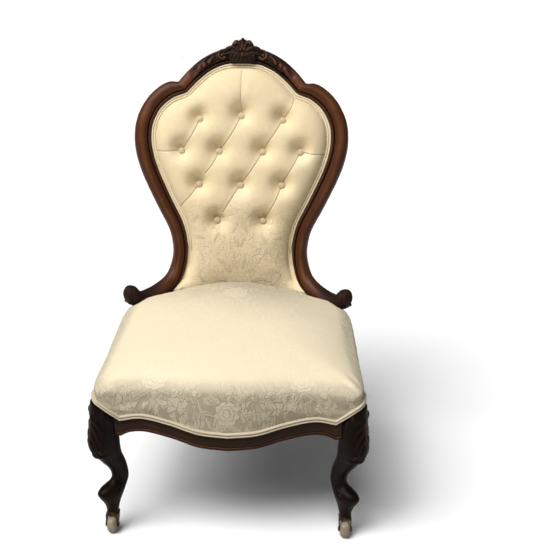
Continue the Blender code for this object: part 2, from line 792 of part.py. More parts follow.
def crest_rail(chair):
    return add("crest_rail", loft([section(*station) for station in CREST]), WALNUT, chair)


def crest_carving(chair):
    """The carved leaf planted on the front of the crest."""
    half = list(CARVING)
    outline = half + [(-x, z) for x, z in half[-2:0:-1]]
    front = FRAME_HALF_DEPTH + FIT_GAP
    middle = sum(z for x, z in half) / len(half)
    rings = []
    for share, relief in ((1.0, 0.0), (1.0, 0.45), (0.86, 0.8), (CARVING_CROWN, 1.0)):
        ring = []
        for x, z in outline:
            height = CREST_Z + middle + share * (z - middle)
            ring.append(back_point(x * share, height, -front - relief * CARVING_RELIEF))
        rings.append(ring)
    return add("crest_carving", loft(rings), WALNUT, chair)


def lower_back_rail(stiles, chair):
    """The rail between the stiles that the lower edge of the back is tacked to."""
    near = CANVAS_SET + CANVAS_THICKNESS + FIT_GAP
    rings = []
    for side in (-1, 1):
        ring = []
        for up, behind in ((-1, near), (-1, near + LOWER_RAIL_THICKNESS),
                           (1, near + LOWER_RAIL_THICKNESS), (1, near)):
            z = LOWER_RAIL_Z + up * LOWER_RAIL_HEIGHT / 2
            ring.append(back_point(side * (inner_half(z) + JOINT_HALF / 2), z, behind))
        rings.append(ring)
    rail = add("lower_back_rail", loft(rings), BEECH, chair)
    fit(rail, *stiles)
    return rail


# Seat upholstery

def seat_piping(chair):
    """Two cords sewn together, from one back corner round the front to the other."""
    rows = PIPED_ROWS * SEAT_STEPS
    count = len(SEAT_LOOP)
    profile = ((0.0, -0.5), (1.0, -0.28), (0.72, 0.0), (1.0, 0.28), (0.0, 0.5))
    rings = []
    for i in range(-rows, rows + 1):
        x, y, hem, edge = SEAT_LOOP[i % count]
        out = SEAT_OUT[i % count]
        ring = []
        for proud, up in profile:
            reach = FIT_GAP + proud * CORD_DEPTH
            ring.append((x + out[0] * reach, y + out[1] * reach, hem + up * CORD_HEIGHT))
        rings.append(ring)
    return add("seat_piping", loft(rings), DAMASK, chair)


def toward_middle(ring, share, rise):
    """Shrink a ring towards the middle of the seat and raise it by a number for each point."""
    out = ring.copy()
    out[:, :2] = SEAT_MIDDLE + (ring[:, :2] - SEAT_MIDDLE) * share
    out[:, 2] = ring[:, 2] + rise
    return out


SPRING_LOW = WEB_Z + FIT_GAP
CANVAS_Z = SPRING_LOW + SPRING_HEIGHT + FIT_GAP


def seat_cushion(neighbours, chair):
    """The stuffed and covered top of the seat, hollow below for the springs."""
    hem = SEAT_LOOP[:, 2]
    edge = SEAT_LOOP[:, 3]
    bottom = hem - CORD_HEIGHT / 2
    rings = [seat_ring(0.0, bottom), seat_ring(0.0, hem + CORD_HEIGHT / 2)]
    for share, inward, upward in SEAT_ROLL:
        rings.append(seat_ring(SEAT_SWELL * inward, hem + share * (edge - hem) + SEAT_SWELL * upward))
    rim = rings[-1]
    crown = RAIL_TOP + SEAT_CROWN
    for share in SEAT_RINGS:
        climb = math.sin((1.0 - share) * math.pi / 2) ** SEAT_DOME
        rings.append(toward_middle(rim, share, (crown - rim[:, 2]) * climb))
    roof = CANVAS_Z + CANVAS_THICKNESS + FIT_GAP
    ledge = RAIL_TOP + CANVAS_THICKNESS + 3 * FIT_GAP
    inner = seat_ring(SKIRT * 2, ledge)
    hollow = [seat_ring(SKIRT, bottom), seat_ring(SKIRT, ledge)]
    hollow.append(toward_middle(inner, CANVAS_LEAVES + CANVAS_ROOM, 0.0))
    hollow.append(toward_middle(inner, CANVAS_TOP + CANVAS_ROOM, roof - ledge))
    cushion = add("seat_cushion", loft(hollow[::-1] + rings), DAMASK, chair)
    fit(cushion, *neighbours, gap=CLOTH_GAP)
    return cushion


def spring_canvas(chair):
    """Canvas laced over the springs and tacked to the tops of the rails."""
    rings = []
    for lift in (0.0, CANVAS_THICKNESS):
        edge = seat_ring(SKIRT * 2, RAIL_TOP + FIT_GAP + lift)[::2]
        rise = CANVAS_Z - RAIL_TOP - FIT_GAP
        layer = [toward_middle(edge, CANVAS_TOP, rise), toward_middle(edge, CANVAS_LEAVES, 0.0), edge]
        rings += layer if lift == 0.0 else layer[::-1]
    return add("spring_canvas", loft(rings), HESSIAN, chair)


def spring_path():
    points = []
    steps = SPRING_TURNS * 8
    for k in range(steps + 1):
        share = k / steps
        angle = 2 * math.pi * SPRING_TURNS * share
        radius = SPRING_WAIST + (SPRING_RADIUS - SPRING_WAIST) * (2 * share - 1) ** 2
        height = SPRING_WIRE / 2 + share * (SPRING_HEIGHT - SPRING_WIRE)
        points.append((radius * math.cos(angle), radius * math.sin(angle), height))
    return points


def spring_gap():
    """Least clear distance between the wire's turns."""
    points = np.array(spring_path())
    least = min(np.linalg.norm(points[i] - points[j])
                for i in range(len(points)) for j in range(i + 5, len(points)))
    return least - SPRING_WIRE


def seat_spring(number, x, y, chair):
    curve = bpy.data.curves.new("spring", "CURVE")
    curve.dimensions = "3D"
    curve.bevel_depth = SPRING_WIRE / 2
    curve.bevel_resolution = 0
    curve.use_fill_caps = True
    points = spring_path()
    spline = curve.splines.new("POLY")
    spline.points.add(len(points) - 1)
    for spot, point in zip(spline.points, points):
        spot.co = (*point, 1.0)
    spring = add(f"seat_spring_{number}", curve, STEEL, chair)
    spring.location = (x, y, SPRING_LOW)
    return spring


def seat_webbing(rear_y, chair):
    """Straps both ways, woven into one net and tacked under the rails."""
    inside = RAIL_SETBACK + (RAIL_LIP + RAIL_THICKNESS) / 2
    front = -SEAT_FRONT_BOW + inside
    length = rear_y + REAR_RAIL_THICKNESS / 2 - front
    half = SEAT_HALF_WIDTH - inside

    def marks(span, straps):
        gap = (span - straps * WEB_WIDTH) / (straps + 1)
        places = [0.0]
        for k in range(straps):
            start = gap + k * (WEB_WIDTH + gap)
            places += [start, start + WEB_WIDTH]
        return places + [span]

    across = marks(2 * half, 4)
    along = marks(length, 4)
    bm = bmesh.new()
    grid = []
    for t in along:
        row = []
        for s in across:
            share = (s - half) / half
            y_mid = front + t
            x = share * (side_hem(y_mid)[0] - inside)
            y_start = front_hem(x)[0] + inside
            y = y_start + t / length * (front + length - y_start)
            row.append(bm.verts.new((x, y, WEB_Z - FIT_GAP)))
        grid.append(row)
    for i in range(len(along) - 1):
        for j in range(len(across) - 1):
            if i % 2 or j % 2:
                bm.faces.new((grid[i][j], grid[i][j + 1], grid[i + 1][j + 1], grid[i + 1][j]))
    bmesh.ops.delete(bm, geom=[v for v in bm.verts if not v.link_faces], context="VERTS")
    lower = bmesh.ops.extrude_face_region(bm, geom=bm.faces[:])
    moved = [item for item in lower["geom"] if isinstance(item, bmesh.types.BMVert)]
    bmesh.ops.translate(bm, verts=moved, vec=(0, 0, -WEB_THICKNESS))
    return add("seat_webbing", mesh_from(bm), HESSIAN, chair)


def seat_dust_cover(rear_y, legs, chair):
    """Black cloth that closes the seat from below, inside the show wood and under the rear rail."""
    top = WEB_Z - WEB_THICKNESS - 2 * FIT_GAP
    inset = RAIL_SETBACK + RAIL_LIP + 3 * FIT_GAP
    last = rear_y + COVER_LAP
    half = [tuple(point[:2]) for point in seat_ring(inset, top)[:PIPED_ROWS * SEAT_STEPS + 1:2]]
    half.append((side_hem(last)[0] - inset, last))
    outline = half + [(-x, y) for x, y in half[:0:-1]]
    cover = add("seat_dust_cover", prism(outline, top - COVER_THICKNESS, top, "Z"), BLACK_CLOTH, chair)
    fit(cover, *legs)
    return cover


# Back upholstery

def tuft_line(z, arch, places):
    """Places of one row of buttons, the middle one higher than the outer ones by the arch."""
    return [(x, z + arch * (1.0 - abs(x) / max(places))) for x in places]


TUFT_LINES = [tuft_line(*row) for row in TUFT_ROWS]


def pleats():
    """Folds between neighbouring buttons, and from the outer ones to the frame."""
    folds = []
    for upper, lower in zip(TUFT_LINES, TUFT_LINES[1:]):
        pitch = upper[1][0] - upper[0][0]
        folds += [(a, b) for a in upper for b in lower if abs(a[0] - b[0]) < pitch]
    top, wide = TUFT_LINES[:2]
    middle = top[len(top) // 2]
    folds.append((middle, (middle[0], CREST_Z)))
    for side in (-1, 1):
        folds.append(((side * top[-1][0], top[-1][1]), (side * JOINT_X, JOINT_Z)))
        folds.append(((side * wide[-1][0], wide[-1][1]), (side * SEAT_HALF_WIDTH, wide[-1][1])))
    return folds


def segment_gap(x, z, fold):
    (ax, az), (bx, bz) = fold
    dx, dz = bx - ax, bz - az
    t = max(0.0, min(1.0, ((x - ax) * dx + (z - az) * dz) / (dx * dx + dz * dz)))
    return math.hypot(x - ax - t * dx, z - az - t * dz)


PAD_OUTLINE = [(tuple(a), tuple(b)) for a, b in zip(INNER, INNER[1:])]
TUFTS = [spot for line in TUFT_LINES for spot in line]
PLEATS = pleats()


def pad_ahead(x, z):
    """How far the padded front stands ahead of the back surface."""
    reach = min(segment_gap(abs(x), z, part) for part in PAD_OUTLINE)
    roll = min(1.0, max(0.0, reach - PAD_FLAT) / PAD_ROLL)
    crown = math.sqrt(1.0 - (1.0 - roll) ** 2)
    tuck = min(1.0, PAD_TUCK + (1.0 - PAD_TUCK) * (z - PAD_BOTTOM) / PAD_ROLL)
    ahead = PAD_EDGE + PAD_CROWN * crown * tuck
    dimple = sum(math.exp(-((x - a) ** 2 + (z - b) ** 2) / TUFT_RADIUS ** 2) for a, b in TUFTS)
    fold = max(math.exp(-(segment_gap(x, z, part) / PLEAT_RADIUS) ** 2) for part in PLEATS)
    sunk = TUFT_DEPTH * min(1.0, dimple) + PLEAT_DEPTH * fold * (1.0 - min(1.0, dimple))
    return ahead - sunk * crown


def arch(x):
    """Height of the crest's inner edge above the cusps where it meets the stiles."""
    above = INNER[INNER[:, 1] >= CUSP_Z]
    return float(np.interp(abs(x), above[::-1, 0], above[::-1, 1])) - CUSP_Z


def pad_spot(share, level, lap=-2 * FIT_GAP):
    """A place inside the frame: share runs from left to right, level from the bottom to the cusps.

    The lap is how far the edge reaches past the frame's inner edge.
    """
    z = PAD_BOTTOM + level * (CUSP_Z - PAD_BOTTOM)
    x = (2 * share - 1) * (inner_half(z) + lap)
    return x, z + level * (arch(x) + lap)


def back_pad(neighbours, chair):
    """The tufted inside back: a padded front on a plain curved rear."""
    bm = bmesh.new()
    last = 1.0 - PAD_FLAT * FLAT_TOP / (INNER_TOP - PAD_BOTTOM)
    levels = list(np.linspace(0.0, last, PAD_ROWS - 1)) + [1.0]
    front, rear = [], []
    for level in levels:
        half = pad_spot(1.0, level)[0]
        edge = PAD_FLAT * FLAT_SIDE / (2 * half) if level < 1.0 else 0.0
        shares = [0.0] + list(np.linspace(edge, 1.0 - edge, PAD_COLUMNS - 2)) + [1.0]
        row = [pad_spot(share, level) for share in shares]
        front.append([bm.verts.new(back_point(x, z, -pad_ahead(x, z))) for x, z in row])
        ends = row if level == 1.0 else (row[0], row[-1])
        rear.append([bm.verts.new(back_point(x, z, CANVAS_SET - FIT_GAP)) for x, z in ends])
    for low, high in zip(front, front[1:]):
        for j in range(PAD_COLUMNS - 1):
            bm.faces.new((low[j], low[j + 1], high[j + 1], high[j]))
    for k in range(len(rear) - 1):
        bm.faces.new((rear[k][0], rear[k][-1], rear[k + 1][-1], rear[k + 1][0]))
        bm.faces.new((rear[k][0], front[k][0], front[k + 1][0], rear[k + 1][0]))
        bm.faces.new((rear[k][-1], front[k][-1], front[k + 1][-1], rear[k + 1][-1]))
    bm.faces.new(rear[-1])
    for j in range(PAD_COLUMNS - 1):
        bm.faces.new((front[-1][j], front[-1][j + 1], rear[-1][j + 1], rear[-1][j]))
    bm.faces.new(front[0] + rear[0][::-1])
    pad = add("back_pad", mesh_from(bm), DAMASK, chair)
    fit(pad, *neighbours)
    return pad


def back_sheet(name, half_at, heights, near, thickness, look, chair):
    """A thin sheet that follows the back; half_at gives its half width at a height."""
    rings = []
    for z in heights:
        half = half_at(z)
        ring = []
        for side, behind in ((-1, near), (1, near), (1, near + thickness), (-1, near + thickness)):
            ring.append(back_point(side * half, z, behind))
        rings.append(ring)
    return add(name, loft(rings), look, chair)


def back_heights(low, high):
    """Heights for a sheet on the back, with one at the cusps of the frame."""
    return list(np.linspace(low, CUSP_Z, 16)) + list(np.linspace(CUSP_Z, high, 6))[1:]


def back_canvas(neighbours, chair):
    heights = back_heights(PAD_BOTTOM, INNER_TOP - BEAD)
    canvas = back_sheet("back_canvas", lambda z: inner_half(z) - 2 * FIT_GAP, heights,
                        CANVAS_SET, CANVAS_THICKNESS, HESSIAN, chair)
    fit(canvas, *neighbours)
    return canvas


def outside_back(rail_back, leg_place, stiles, chair):
    """The cloth-covered panel that closes the back, from the crest down to the rear rail."""
    low_half = leg_place[0] - REAR_LEG_TOP_HALF - 2 * FIT_GAP
    near = FRAME_HALF_DEPTH + FIT_GAP
    shares = np.linspace(0.0, 1.0, PANEL_COLUMNS)
    fronts, rears = [], []
    for z in (WEB_Z + BEAD, RAIL_TOP - BEAD):
        row = [np.array(((2 * share - 1) * low_half, rail_back + FIT_GAP, z)) for share in shares]
        fronts.append(row)
        rears.append([point + (0.0, PANEL_THICKNESS, 0.0) for point in row])
    for level in np.linspace(0.0, 1.0, PANEL_ROWS):
        row = [pad_spot(share, level, PANEL_LAP) for share in shares]
        row = [(min(low_half, max(-low_half, x)) if z < WAIST_Z else x, z) for x, z in row]
        fronts.append([back_point(x, z, near) for x, z in row])
        rears.append([back_point(x, z, near + PANEL_THICKNESS) for x, z in row])
    rings = [front + rear[::-1] for front, rear in zip(fronts, rears)]
    panel = add("outside_back_panel", grid_loft(rings, PANEL_COLUMNS), DAMASK, chair)
    fit(panel, *stiles)
    return panel


def back_piping(chair):
    """Piping along the frame's inner edge, up one stile, under the crest and down the other."""
    radius = CORD_DEPTH / 2
    inset = radius + 3 * FIT_GAP
    points = [(x, z) for x, z in INNER if z > PAD_BOTTOM + PAD_ROLL]
    path = [(-x, z) for x, z in points[:-1]] + points[::-1]
    rings = []
    for i, (x, z) in enumerate(path):
        before, after = path[max(i - 1, 0)], path[min(i + 1, len(path) - 1)]
        along = unit((after[0] - before[0], after[1] - before[1]))
        inward = np.array((along[1], -along[0]))
        ring = []
        for k in range(6):
            angle = 2 * math.pi * k / 6
            px = x + inward[0] * (inset + radius * math.cos(angle))
            pz = z + inward[1] * (inset + radius * math.cos(angle))
            ahead = PAD_EDGE + radius + 2 * FIT_GAP + radius * math.sin(angle)
            ring.append(back_point(px, pz, -ahead))
        rings.append(ring)
    return add("back_piping", loft(rings), DAMASK, chair)


def back_button(number, x, z, pad_tree, chair):
    """A covered button seated in its tuft, square to the lean of the back."""
    normal = Vector(back_normal(z))
    centre = Vector(back_point(x, z, -PAD_EDGE - PAD_CROWN * 2))
    frame = Matrix.Rotation(math.atan2(-normal.z, normal.y), 4, "X").inverted()
    reach = []
    for radius in np.linspace(0.0, BUTTON_RADIUS, 9):
        for angle in np.linspace(0.0, 2 * math.pi, 36, endpoint=False):
            spot = centre + frame @ Vector((radius * math.cos(angle), 0.0, radius * math.sin(angle)))
            hit = pad_tree.ray_cast(spot, normal)
            reach.append(hit[3])
    depth = min(reach) - 2 * FIT_GAP
    rings = []
    for share, height in ((1.0, 0.0), (1.0, 0.35), (0.66, 1.0)):
        ring = []
        for k in range(BUTTON_SIDES):
            angle = 2 * math.pi * k / BUTTON_SIDES
            local = Vector((BUTTON_RADIUS * share * math.cos(angle), -BUTTON_HEIGHT * height,
                            BUTTON_RADIUS * share * math.sin(angle)))
            ring.append(frame @ local)
        rings.append(ring)
    button = add(f"back_button_{number:02d}", loft(rings), DAMASK, chair)
    button.location = centre + normal * depth
    return button


# Casters

def wheel_mesh():
    bore = AXLE_RADIUS + RUN_GAP
    face = WHEEL_RADIUS - WHEEL_SHOULDER
    half, tread = WHEEL_WIDTH / 2, WHEEL_TREAD / 2
    profile = ((bore, -half), (face, -half), (WHEEL_RADIUS, -tread), (WHEEL_RADIUS, tread),
               (face, half), (bore, half))
    return turned(profile, WHEEL_SIDES, "X")


def axle_mesh():
    reach = FORK_HALF + FIT_GAP
    rings = []
    for radius, x in ((AXLE_HEAD_RADIUS, -reach - AXLE_HEAD), (AXLE_HEAD_RADIUS, -reach),
                      (AXLE_RADIUS, -reach), (AXLE_RADIUS, reach),
                      (AXLE_HEAD_RADIUS, reach), (AXLE_HEAD_RADIUS, reach + AXLE_HEAD)):
        rings.append([(x, radius * math.cos(a), radius * math.sin(a))
                      for a in np.linspace(0, 2 * math.pi, 10, endpoint=False)])
    return loft(rings)


def plate_mesh():
    hole = STEM_RADIUS + RUN_GAP
    return turned(((hole, 0.0), (PLATE_RADIUS, 0.0), (PLATE_RADIUS, PLATE_THICKNESS),
                   (hole, PLATE_THICKNESS)), 12)


def fork_mesh(parent):
    """A bridge under the plate, two cheeks down to the axle and a stem up into the leg."""
    eye = [(-CASTER_TRAIL + CHEEK_EYE * math.cos(a), AXLE_Z + CHEEK_EYE * math.sin(a))
           for a in np.linspace(-math.pi, 0.0, 7)]
    outline = [(PLATE_RADIUS, BRIDGE_Z), (PLATE_RADIUS, FORK_TOP),
               (-CASTER_TRAIL - CHEEK_EYE * 0.4, FORK_TOP)] + eye
    fork = add("fork", prism(outline, -FORK_HALF, FORK_HALF, "X"), BRASS, parent)
    room = WHEEL_WIDTH / 2 + SIDE_ROOM
    far = CASTER_TRAIL + WHEEL_RADIUS
    slot = prism(((-far, -BRIDGE), (far, -BRIDGE), (far, BRIDGE_Z), (-far, BRIDGE_Z)), -room, room, "X")
    boolean(fork, slot, "DIFFERENCE")
    hole = rod(AXLE_RADIUS + FIT_GAP, -FORK_HALF - CHEEK, FORK_HALF + CHEEK, 12, "X")
    boolean(fork, hole, "DIFFERENCE", (0, -CASTER_TRAIL, AXLE_Z))
    boolean(fork, rod(STEM_RADIUS, FORK_TOP - BRIDGE / 2, STEM_TOP), "UNION")
    mesh = fork.data
    bpy.data.objects.remove(fork)
    return mesh


def caster(name, place, meshes, chair):
    """Plate on the leg; fork and axle on an empty at the swivel; wheel on the axle's line."""
    x, y = place
    swivel = bpy.data.objects.new(f"{name}_swivel", None)
    bpy.context.scene.collection.objects.link(swivel)
    swivel.parent = chair
    swivel.location = (x, y, 0.0)
    plate = add(f"{name}_plate", meshes["plate"].copy(), BRASS, chair)
    plate.location = (x, y, PLATE_Z)
    add(f"{name}_fork", meshes["fork"].copy(), BRASS, swivel)
    axle = add(f"{name}_axle", meshes["axle"].copy(), BRASS, swivel)
    axle.location = (0.0, -CASTER_TRAIL, AXLE_Z)
    wheel = add(f"{name}_wheel", meshes["wheel"].copy(), PORCELAIN, swivel)
    wheel.location = (0.0, -CASTER_TRAIL, AXLE_Z)


# The whole chair

def centre_on_floor(chair):
    """Move the chair so that the origin is under the middle of its box."""
    bpy.context.view_layer.update()
    graph = bpy.context.evaluated_depsgraph_get()
    corners = []
    for piece in bpy.context.scene.objects:
        if piece.type in {"MESH", "CURVE"}:
            solid = piece.evaluated_get(graph)
            mesh = solid.to_mesh()
            corners += [piece.matrix_world @ vert.co for vert in mesh.vertices]
            solid.to_mesh_clear()
    points = np.array(corners)
    low, high = points.min(axis=0), points.max(axis=0)
    chair.location = (-(low[0] + high[0]) / 2, -(low[1] + high[1]) / 2, -low[2])
    print("size", np.round(high - low, 4), "shift", np.round(chair.location, 5))


def main():
    for piece in list(bpy.data.objects):
        bpy.data.objects.remove(piece)
    chair = bpy.data.objects.new("chair", None)
    bpy.context.scene.collection.objects.link(chair)

    stiles = {word: back_stile(f"back_stile_{word}", side, chair) for word, side in SIDES}
    crest = crest_rail(chair)
    crest_carving(chair)
    lower_back_rail(stiles.values(), chair)

    # The rear legs stand under the stiles where these sweep out over the seat's corners
    sweep = STILE[-7][0]
    leg_place = (sweep[0], sweep[1] + FRAME_HALF_DEPTH, sweep[2])
    rear_legs = [rear_leg(f"rear_leg_{word}", side, leg_place, stiles[word], chair)
                 for word, side in SIDES]
    front_legs = [front_leg(f"front_leg_{word}", side, chair) for word, side in SIDES]

    front_rail(front_legs, chair)
    rear_face = rear_rail_front(leg_place)
    sides = {}
    for k, (word, side) in enumerate(SIDES):
        legs = (front_legs[k], rear_legs[k])
        sides[word] = side_rail(f"side_seat_rail_{word}", side, legs, rear_face - FIT_GAP, chair)
    rear_rail(rear_legs, leg_place, chair)
    corner_blocks(leg_place, rear_face, chair)

    seat_webbing(rear_face, chair)
    for number, (across, along) in enumerate(SPRING_PLACES, 1):
        seat_spring(number, across * (SEAT_HALF_WIDTH - RAIL_THICKNESS), along * SEAT_BACK_Y, chair)
    print("least gap between spring turns", round(spring_gap() * 1000, 2), "mm")
    spring_canvas(chair)
    seat_cushion(list(stiles.values()) + list(sides.values()) + front_legs + rear_legs, chair)
    seat_piping(chair)
    seat_dust_cover(rear_face, front_legs + rear_legs, chair)

    frame = list(stiles.values()) + [crest]
    pad = back_pad(frame, chair)
    back_piping(chair)
    back_canvas(frame, chair)
    outside_back(rear_face + REAR_RAIL_THICKNESS, leg_place, stiles.values(), chair)
    bm = bmesh.new()
    bm.from_mesh(pad.data)
    tree = BVHTree.FromBMesh(bm)
    bm.free()
    for number, (x, z) in enumerate(TUFTS, 1):
        back_button(number, x, z, tree, chair)

    meshes = {"wheel": wheel_mesh(), "axle": axle_mesh(), "plate": plate_mesh(), "fork": fork_mesh(chair)}
    rear_foot = (leg_place[0] - REAR_LEG_TOE_IN, leg_place[1] + REAR_LEG_RAKE)
    for end, (x, y) in (("front", (LEG_X, LEG_SET)), ("rear", rear_foot)):
        for word, side in SIDES:
            caster(f"caster_{end}_{word}", (side * x, y), meshes, chair)
    centre_on_floor(chair)
    shift = chair.location
    for end, (x, y) in (("front", (LEG_X, LEG_SET)), ("rear", rear_foot)):
        print(f"{end} swivel", round(x, 5), round(y + shift.y, 5), "axle", round(AXLE_Z, 5))


main()
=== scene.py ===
# Looks of the grandmother chair: show wood, cover, cords and casters round the fixed solid model.
# Metres, +Z up, the sitter faces -Y, and "left" is the left of someone who looks at the front.
import math

import bpy
import numpy as np
from mathutils import Matrix, Vector


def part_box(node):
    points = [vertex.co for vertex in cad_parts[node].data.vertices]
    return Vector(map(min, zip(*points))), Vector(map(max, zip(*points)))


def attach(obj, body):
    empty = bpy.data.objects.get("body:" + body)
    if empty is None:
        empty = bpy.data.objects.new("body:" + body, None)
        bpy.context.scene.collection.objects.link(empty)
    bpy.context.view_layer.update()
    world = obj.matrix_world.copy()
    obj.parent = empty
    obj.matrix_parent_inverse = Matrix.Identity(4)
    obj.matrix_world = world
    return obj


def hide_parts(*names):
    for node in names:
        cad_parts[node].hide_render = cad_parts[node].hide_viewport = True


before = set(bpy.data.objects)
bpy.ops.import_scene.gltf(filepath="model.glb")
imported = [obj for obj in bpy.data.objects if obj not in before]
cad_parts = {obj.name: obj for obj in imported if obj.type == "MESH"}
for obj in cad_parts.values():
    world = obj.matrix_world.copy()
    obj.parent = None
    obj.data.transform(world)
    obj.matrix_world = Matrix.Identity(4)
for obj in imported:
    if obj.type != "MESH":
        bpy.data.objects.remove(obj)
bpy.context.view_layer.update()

# Small tools

hands = (("left", -1), ("right", 1))
ball = (math.pi, 2 * math.pi)  # angles from pole to pole and round


def pickNothing():
    if bpy.context.object and bpy.context.object.mode != "OBJECT":
        bpy.ops.object.mode_set(mode="OBJECT")
    bpy.ops.object.select_all(action="DESELECT")


def pick(piece):
    pickNothing()
    piece.select_set(True)
    bpy.context.view_layer.objects.active = piece


def editAll(piece):
    pick(piece)
    bpy.ops.object.mode_set(mode="EDIT")
    bpy.ops.mesh.select_all(action="SELECT")


def getPoints(piece):
    points = np.empty(len(piece.data.vertices) * 3)
    piece.data.vertices.foreach_get("co", points)
    return points.reshape(-1, 3)


def setPoints(piece, points):
    piece.data.vertices.foreach_set("co", np.ascontiguousarray(points, dtype=float).ravel())
    piece.data.update()


def getNormals(piece):
    normals = np.empty(len(piece.data.vertices) * 3)
    piece.data.vertices.foreach_get("normal", normals)
    return normals.reshape(-1, 3)


def applyModifier(piece, kind, **settings):
    pick(piece)
    modifier = piece.modifiers.new(kind.lower(), kind)
    for key, value in settings.items():
        setattr(modifier, key, value)
    bpy.ops.object.modifier_apply(modifier=modifier.name)


def subdivide(piece, levels):
    applyModifier(piece, "SUBSURF", levels=levels, render_levels=levels)


def shade(piece, angle=180):
    pick(piece)
    if angle >= 180:
        bpy.ops.object.shade_smooth()
    else:
        bpy.ops.object.shade_smooth_by_angle(angle=math.radians(angle))


def faceTo(piece, axis, sign):  # turn an open sheet's face along an axis
    if sign * getNormals(piece)[:, axis].mean() < 0.0:
        editAll(piece)
        bpy.ops.mesh.flip_normals()
        bpy.ops.object.mode_set(mode="OBJECT")


def join(pieces, name):
    pickNothing()
    for piece in pieces:
        piece.select_set(True)
    bpy.context.view_layer.objects.active = pieces[0]
    bpy.ops.object.join()
    pieces[0].name = name
    return pieces[0]


def settle(piece, body, slot, finish, *nodes):
    piece.data.materials.clear()
    piece.data.materials.append(finish)
    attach(piece, body)
    if nodes:
        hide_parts(*nodes)


def sided(points, side):  # the right half's places, or those across from them
    return points * np.array((side, 1.0, 1.0))


def shares(columns, rows, far=(1.0, 1.0)):  # an even grid of two numbers that start at 0
    return np.meshgrid(np.linspace(0.0, far[0], columns), np.linspace(0.0, far[1], rows), indexing="ij")


def unit(vectors):
    vectors = np.asarray(vectors, dtype=float)
    return vectors / np.linalg.norm(vectors, axis=-1, keepdims=True)


def ease(share):
    share = np.clip(share, 0.0, 1.0)
    return share * share * (3.0 - 2.0 * share)


def ramp(value, start, run):  # eases from 0 at the start to 1 a run away
    return ease((value - start) / run)


def curve(points, steps):  # a smooth line through the points
    rows = np.array(points, dtype=float)
    rows = np.vstack((2 * rows[0] - rows[1], rows, 2 * rows[-1] - rows[-2]))
    t = (np.arange(steps) / steps)[:, None]
    out = [0.5 * (2 * b + (c - a) * t + (2 * a - 5 * b + 4 * c - d) * t ** 2 + (3 * b - a - 3 * c + d) * t ** 3)
           for a, b, c, d in zip(rows, rows[1:], rows[2:], rows[3:])]
    return np.vstack(out + [rows[-2:-1]])


def ringCurve(points, steps):  # the same, closed into a ring
    count = len(points)
    return curve(list(points[-2:]) + list(points) + list(points[:3]), steps)[2 * steps:(count + 2) * steps + 1]


def along(points):  # length run so far at each point of a line
    steps = np.linalg.norm(np.diff(points, axis=0), axis=1)
    return np.concatenate(((0.0,), np.cumsum(steps)))


# A grid primitive laid over an array of places: columns run along the piece, rows round it.
# The grid's own UV map is kept and stretched to metres, so grain and weave follow the piece.
def skin(name, places, closed=True, capped=True, tones=None):
    columns, rows = places.shape[:2]
    pickNothing()
    bpy.ops.mesh.primitive_grid_add(x_subdivisions=columns - 1, y_subdivisions=rows - 1, size=1.0)
    piece = bpy.context.object
    piece.name = name
    flat = getPoints(piece)
    k = np.rint((flat[:, 0] + 0.5) * (columns - 1)).astype(int)
    j = np.rint((flat[:, 1] + 0.5) * (rows - 1)).astype(int)
    setPoints(piece, places[k, j])
    if tones is not None:
        setTone(piece, np.broadcast_to(tones, (columns, rows))[k, j])
    length = np.linalg.norm(np.diff(places, axis=0), axis=2).mean(axis=1).sum()
    girth = np.linalg.norm(np.diff(places, axis=1), axis=2).mean(axis=0).sum()
    layer = piece.data.uv_layers[0].data
    uv = np.empty(len(layer) * 2)
    layer.foreach_get("uv", uv)
    layer.foreach_set("uv", (uv.reshape(-1, 2) * (length, girth)).ravel())
    editAll(piece)
    if closed:
        bpy.ops.mesh.remove_doubles(threshold=1e-6)
        if capped:
            bpy.ops.mesh.select_all(action="SELECT")
            bpy.ops.mesh.fill_holes(sides=0)
        bpy.ops.mesh.select_all(action="SELECT")
        bpy.ops.mesh.normals_make_consistent(inside=False)
    bpy.ops.object.mode_set(mode="OBJECT")
    shade(piece, 50)
    return piece


def setUv(piece, byVertex):  # a UV map from one place for each vertex
    mesh = piece.data
    layer = mesh.uv_layers[0] if mesh.uv_layers else mesh.uv_layers.new(name="cover")
    index = np.empty(len(mesh.loops), dtype=int)
    mesh.loops.foreach_get("vertex_index", index)
    layer.data.foreach_set("uv", np.ascontiguousarray(byVertex[index], dtype=float).ravel())


def setTone(piece, values, name="tone"):  # a number for each vertex that the finish reads
    layer = piece.data.attributes.new(name, "FLOAT", "POINT")
    layer.data.foreach_set("value", np.ascontiguousarray(values, dtype=float))


# Carving: strokes of the gouge as lines with a width and a height at each end, on a flat
# drawing. The result is how far the wood stands up at each place of the drawing.
def carved(places, strokes, steps=9):
    height = np.zeros(len(places))
    for line, (startWide, endWide), (startHigh, endHigh) in strokes:
        path = curve(line, steps) if len(line) > 2 else np.linspace(line[0], line[1], steps * 2)
        share = along(path)
        share = share / max(share[-1], 1e-9)
        reach = np.ptp(path, axis=0).max() / 2 + 2 * max(startWide, endWide)
        near = np.abs(places - path.mean(axis=0)).max(axis=1) < reach
        spots = places[near]
        best = np.zeros(len(spots))
        for (a, b), (s, e) in zip(zip(path, path[1:]), zip(share, share[1:])):
            run = b - a
            t = np.clip(((spots - a) @ run) / max(run @ run, 1e-12), 0.0, 1.0)
            gap = np.linalg.norm(spots - a - t[:, None] * run, axis=1)
            where = s + t * (e - s)
            wide = startWide + where * (endWide - startWide)
            high = startHigh + where * (endHigh - startHigh)
            best = np.maximum(best, high * np.sqrt(np.clip(1.0 - (gap / wide) ** 2, 0.0, 1.0)))
        height[near] = np.maximum(height[near], best)
    return height


# Finishes

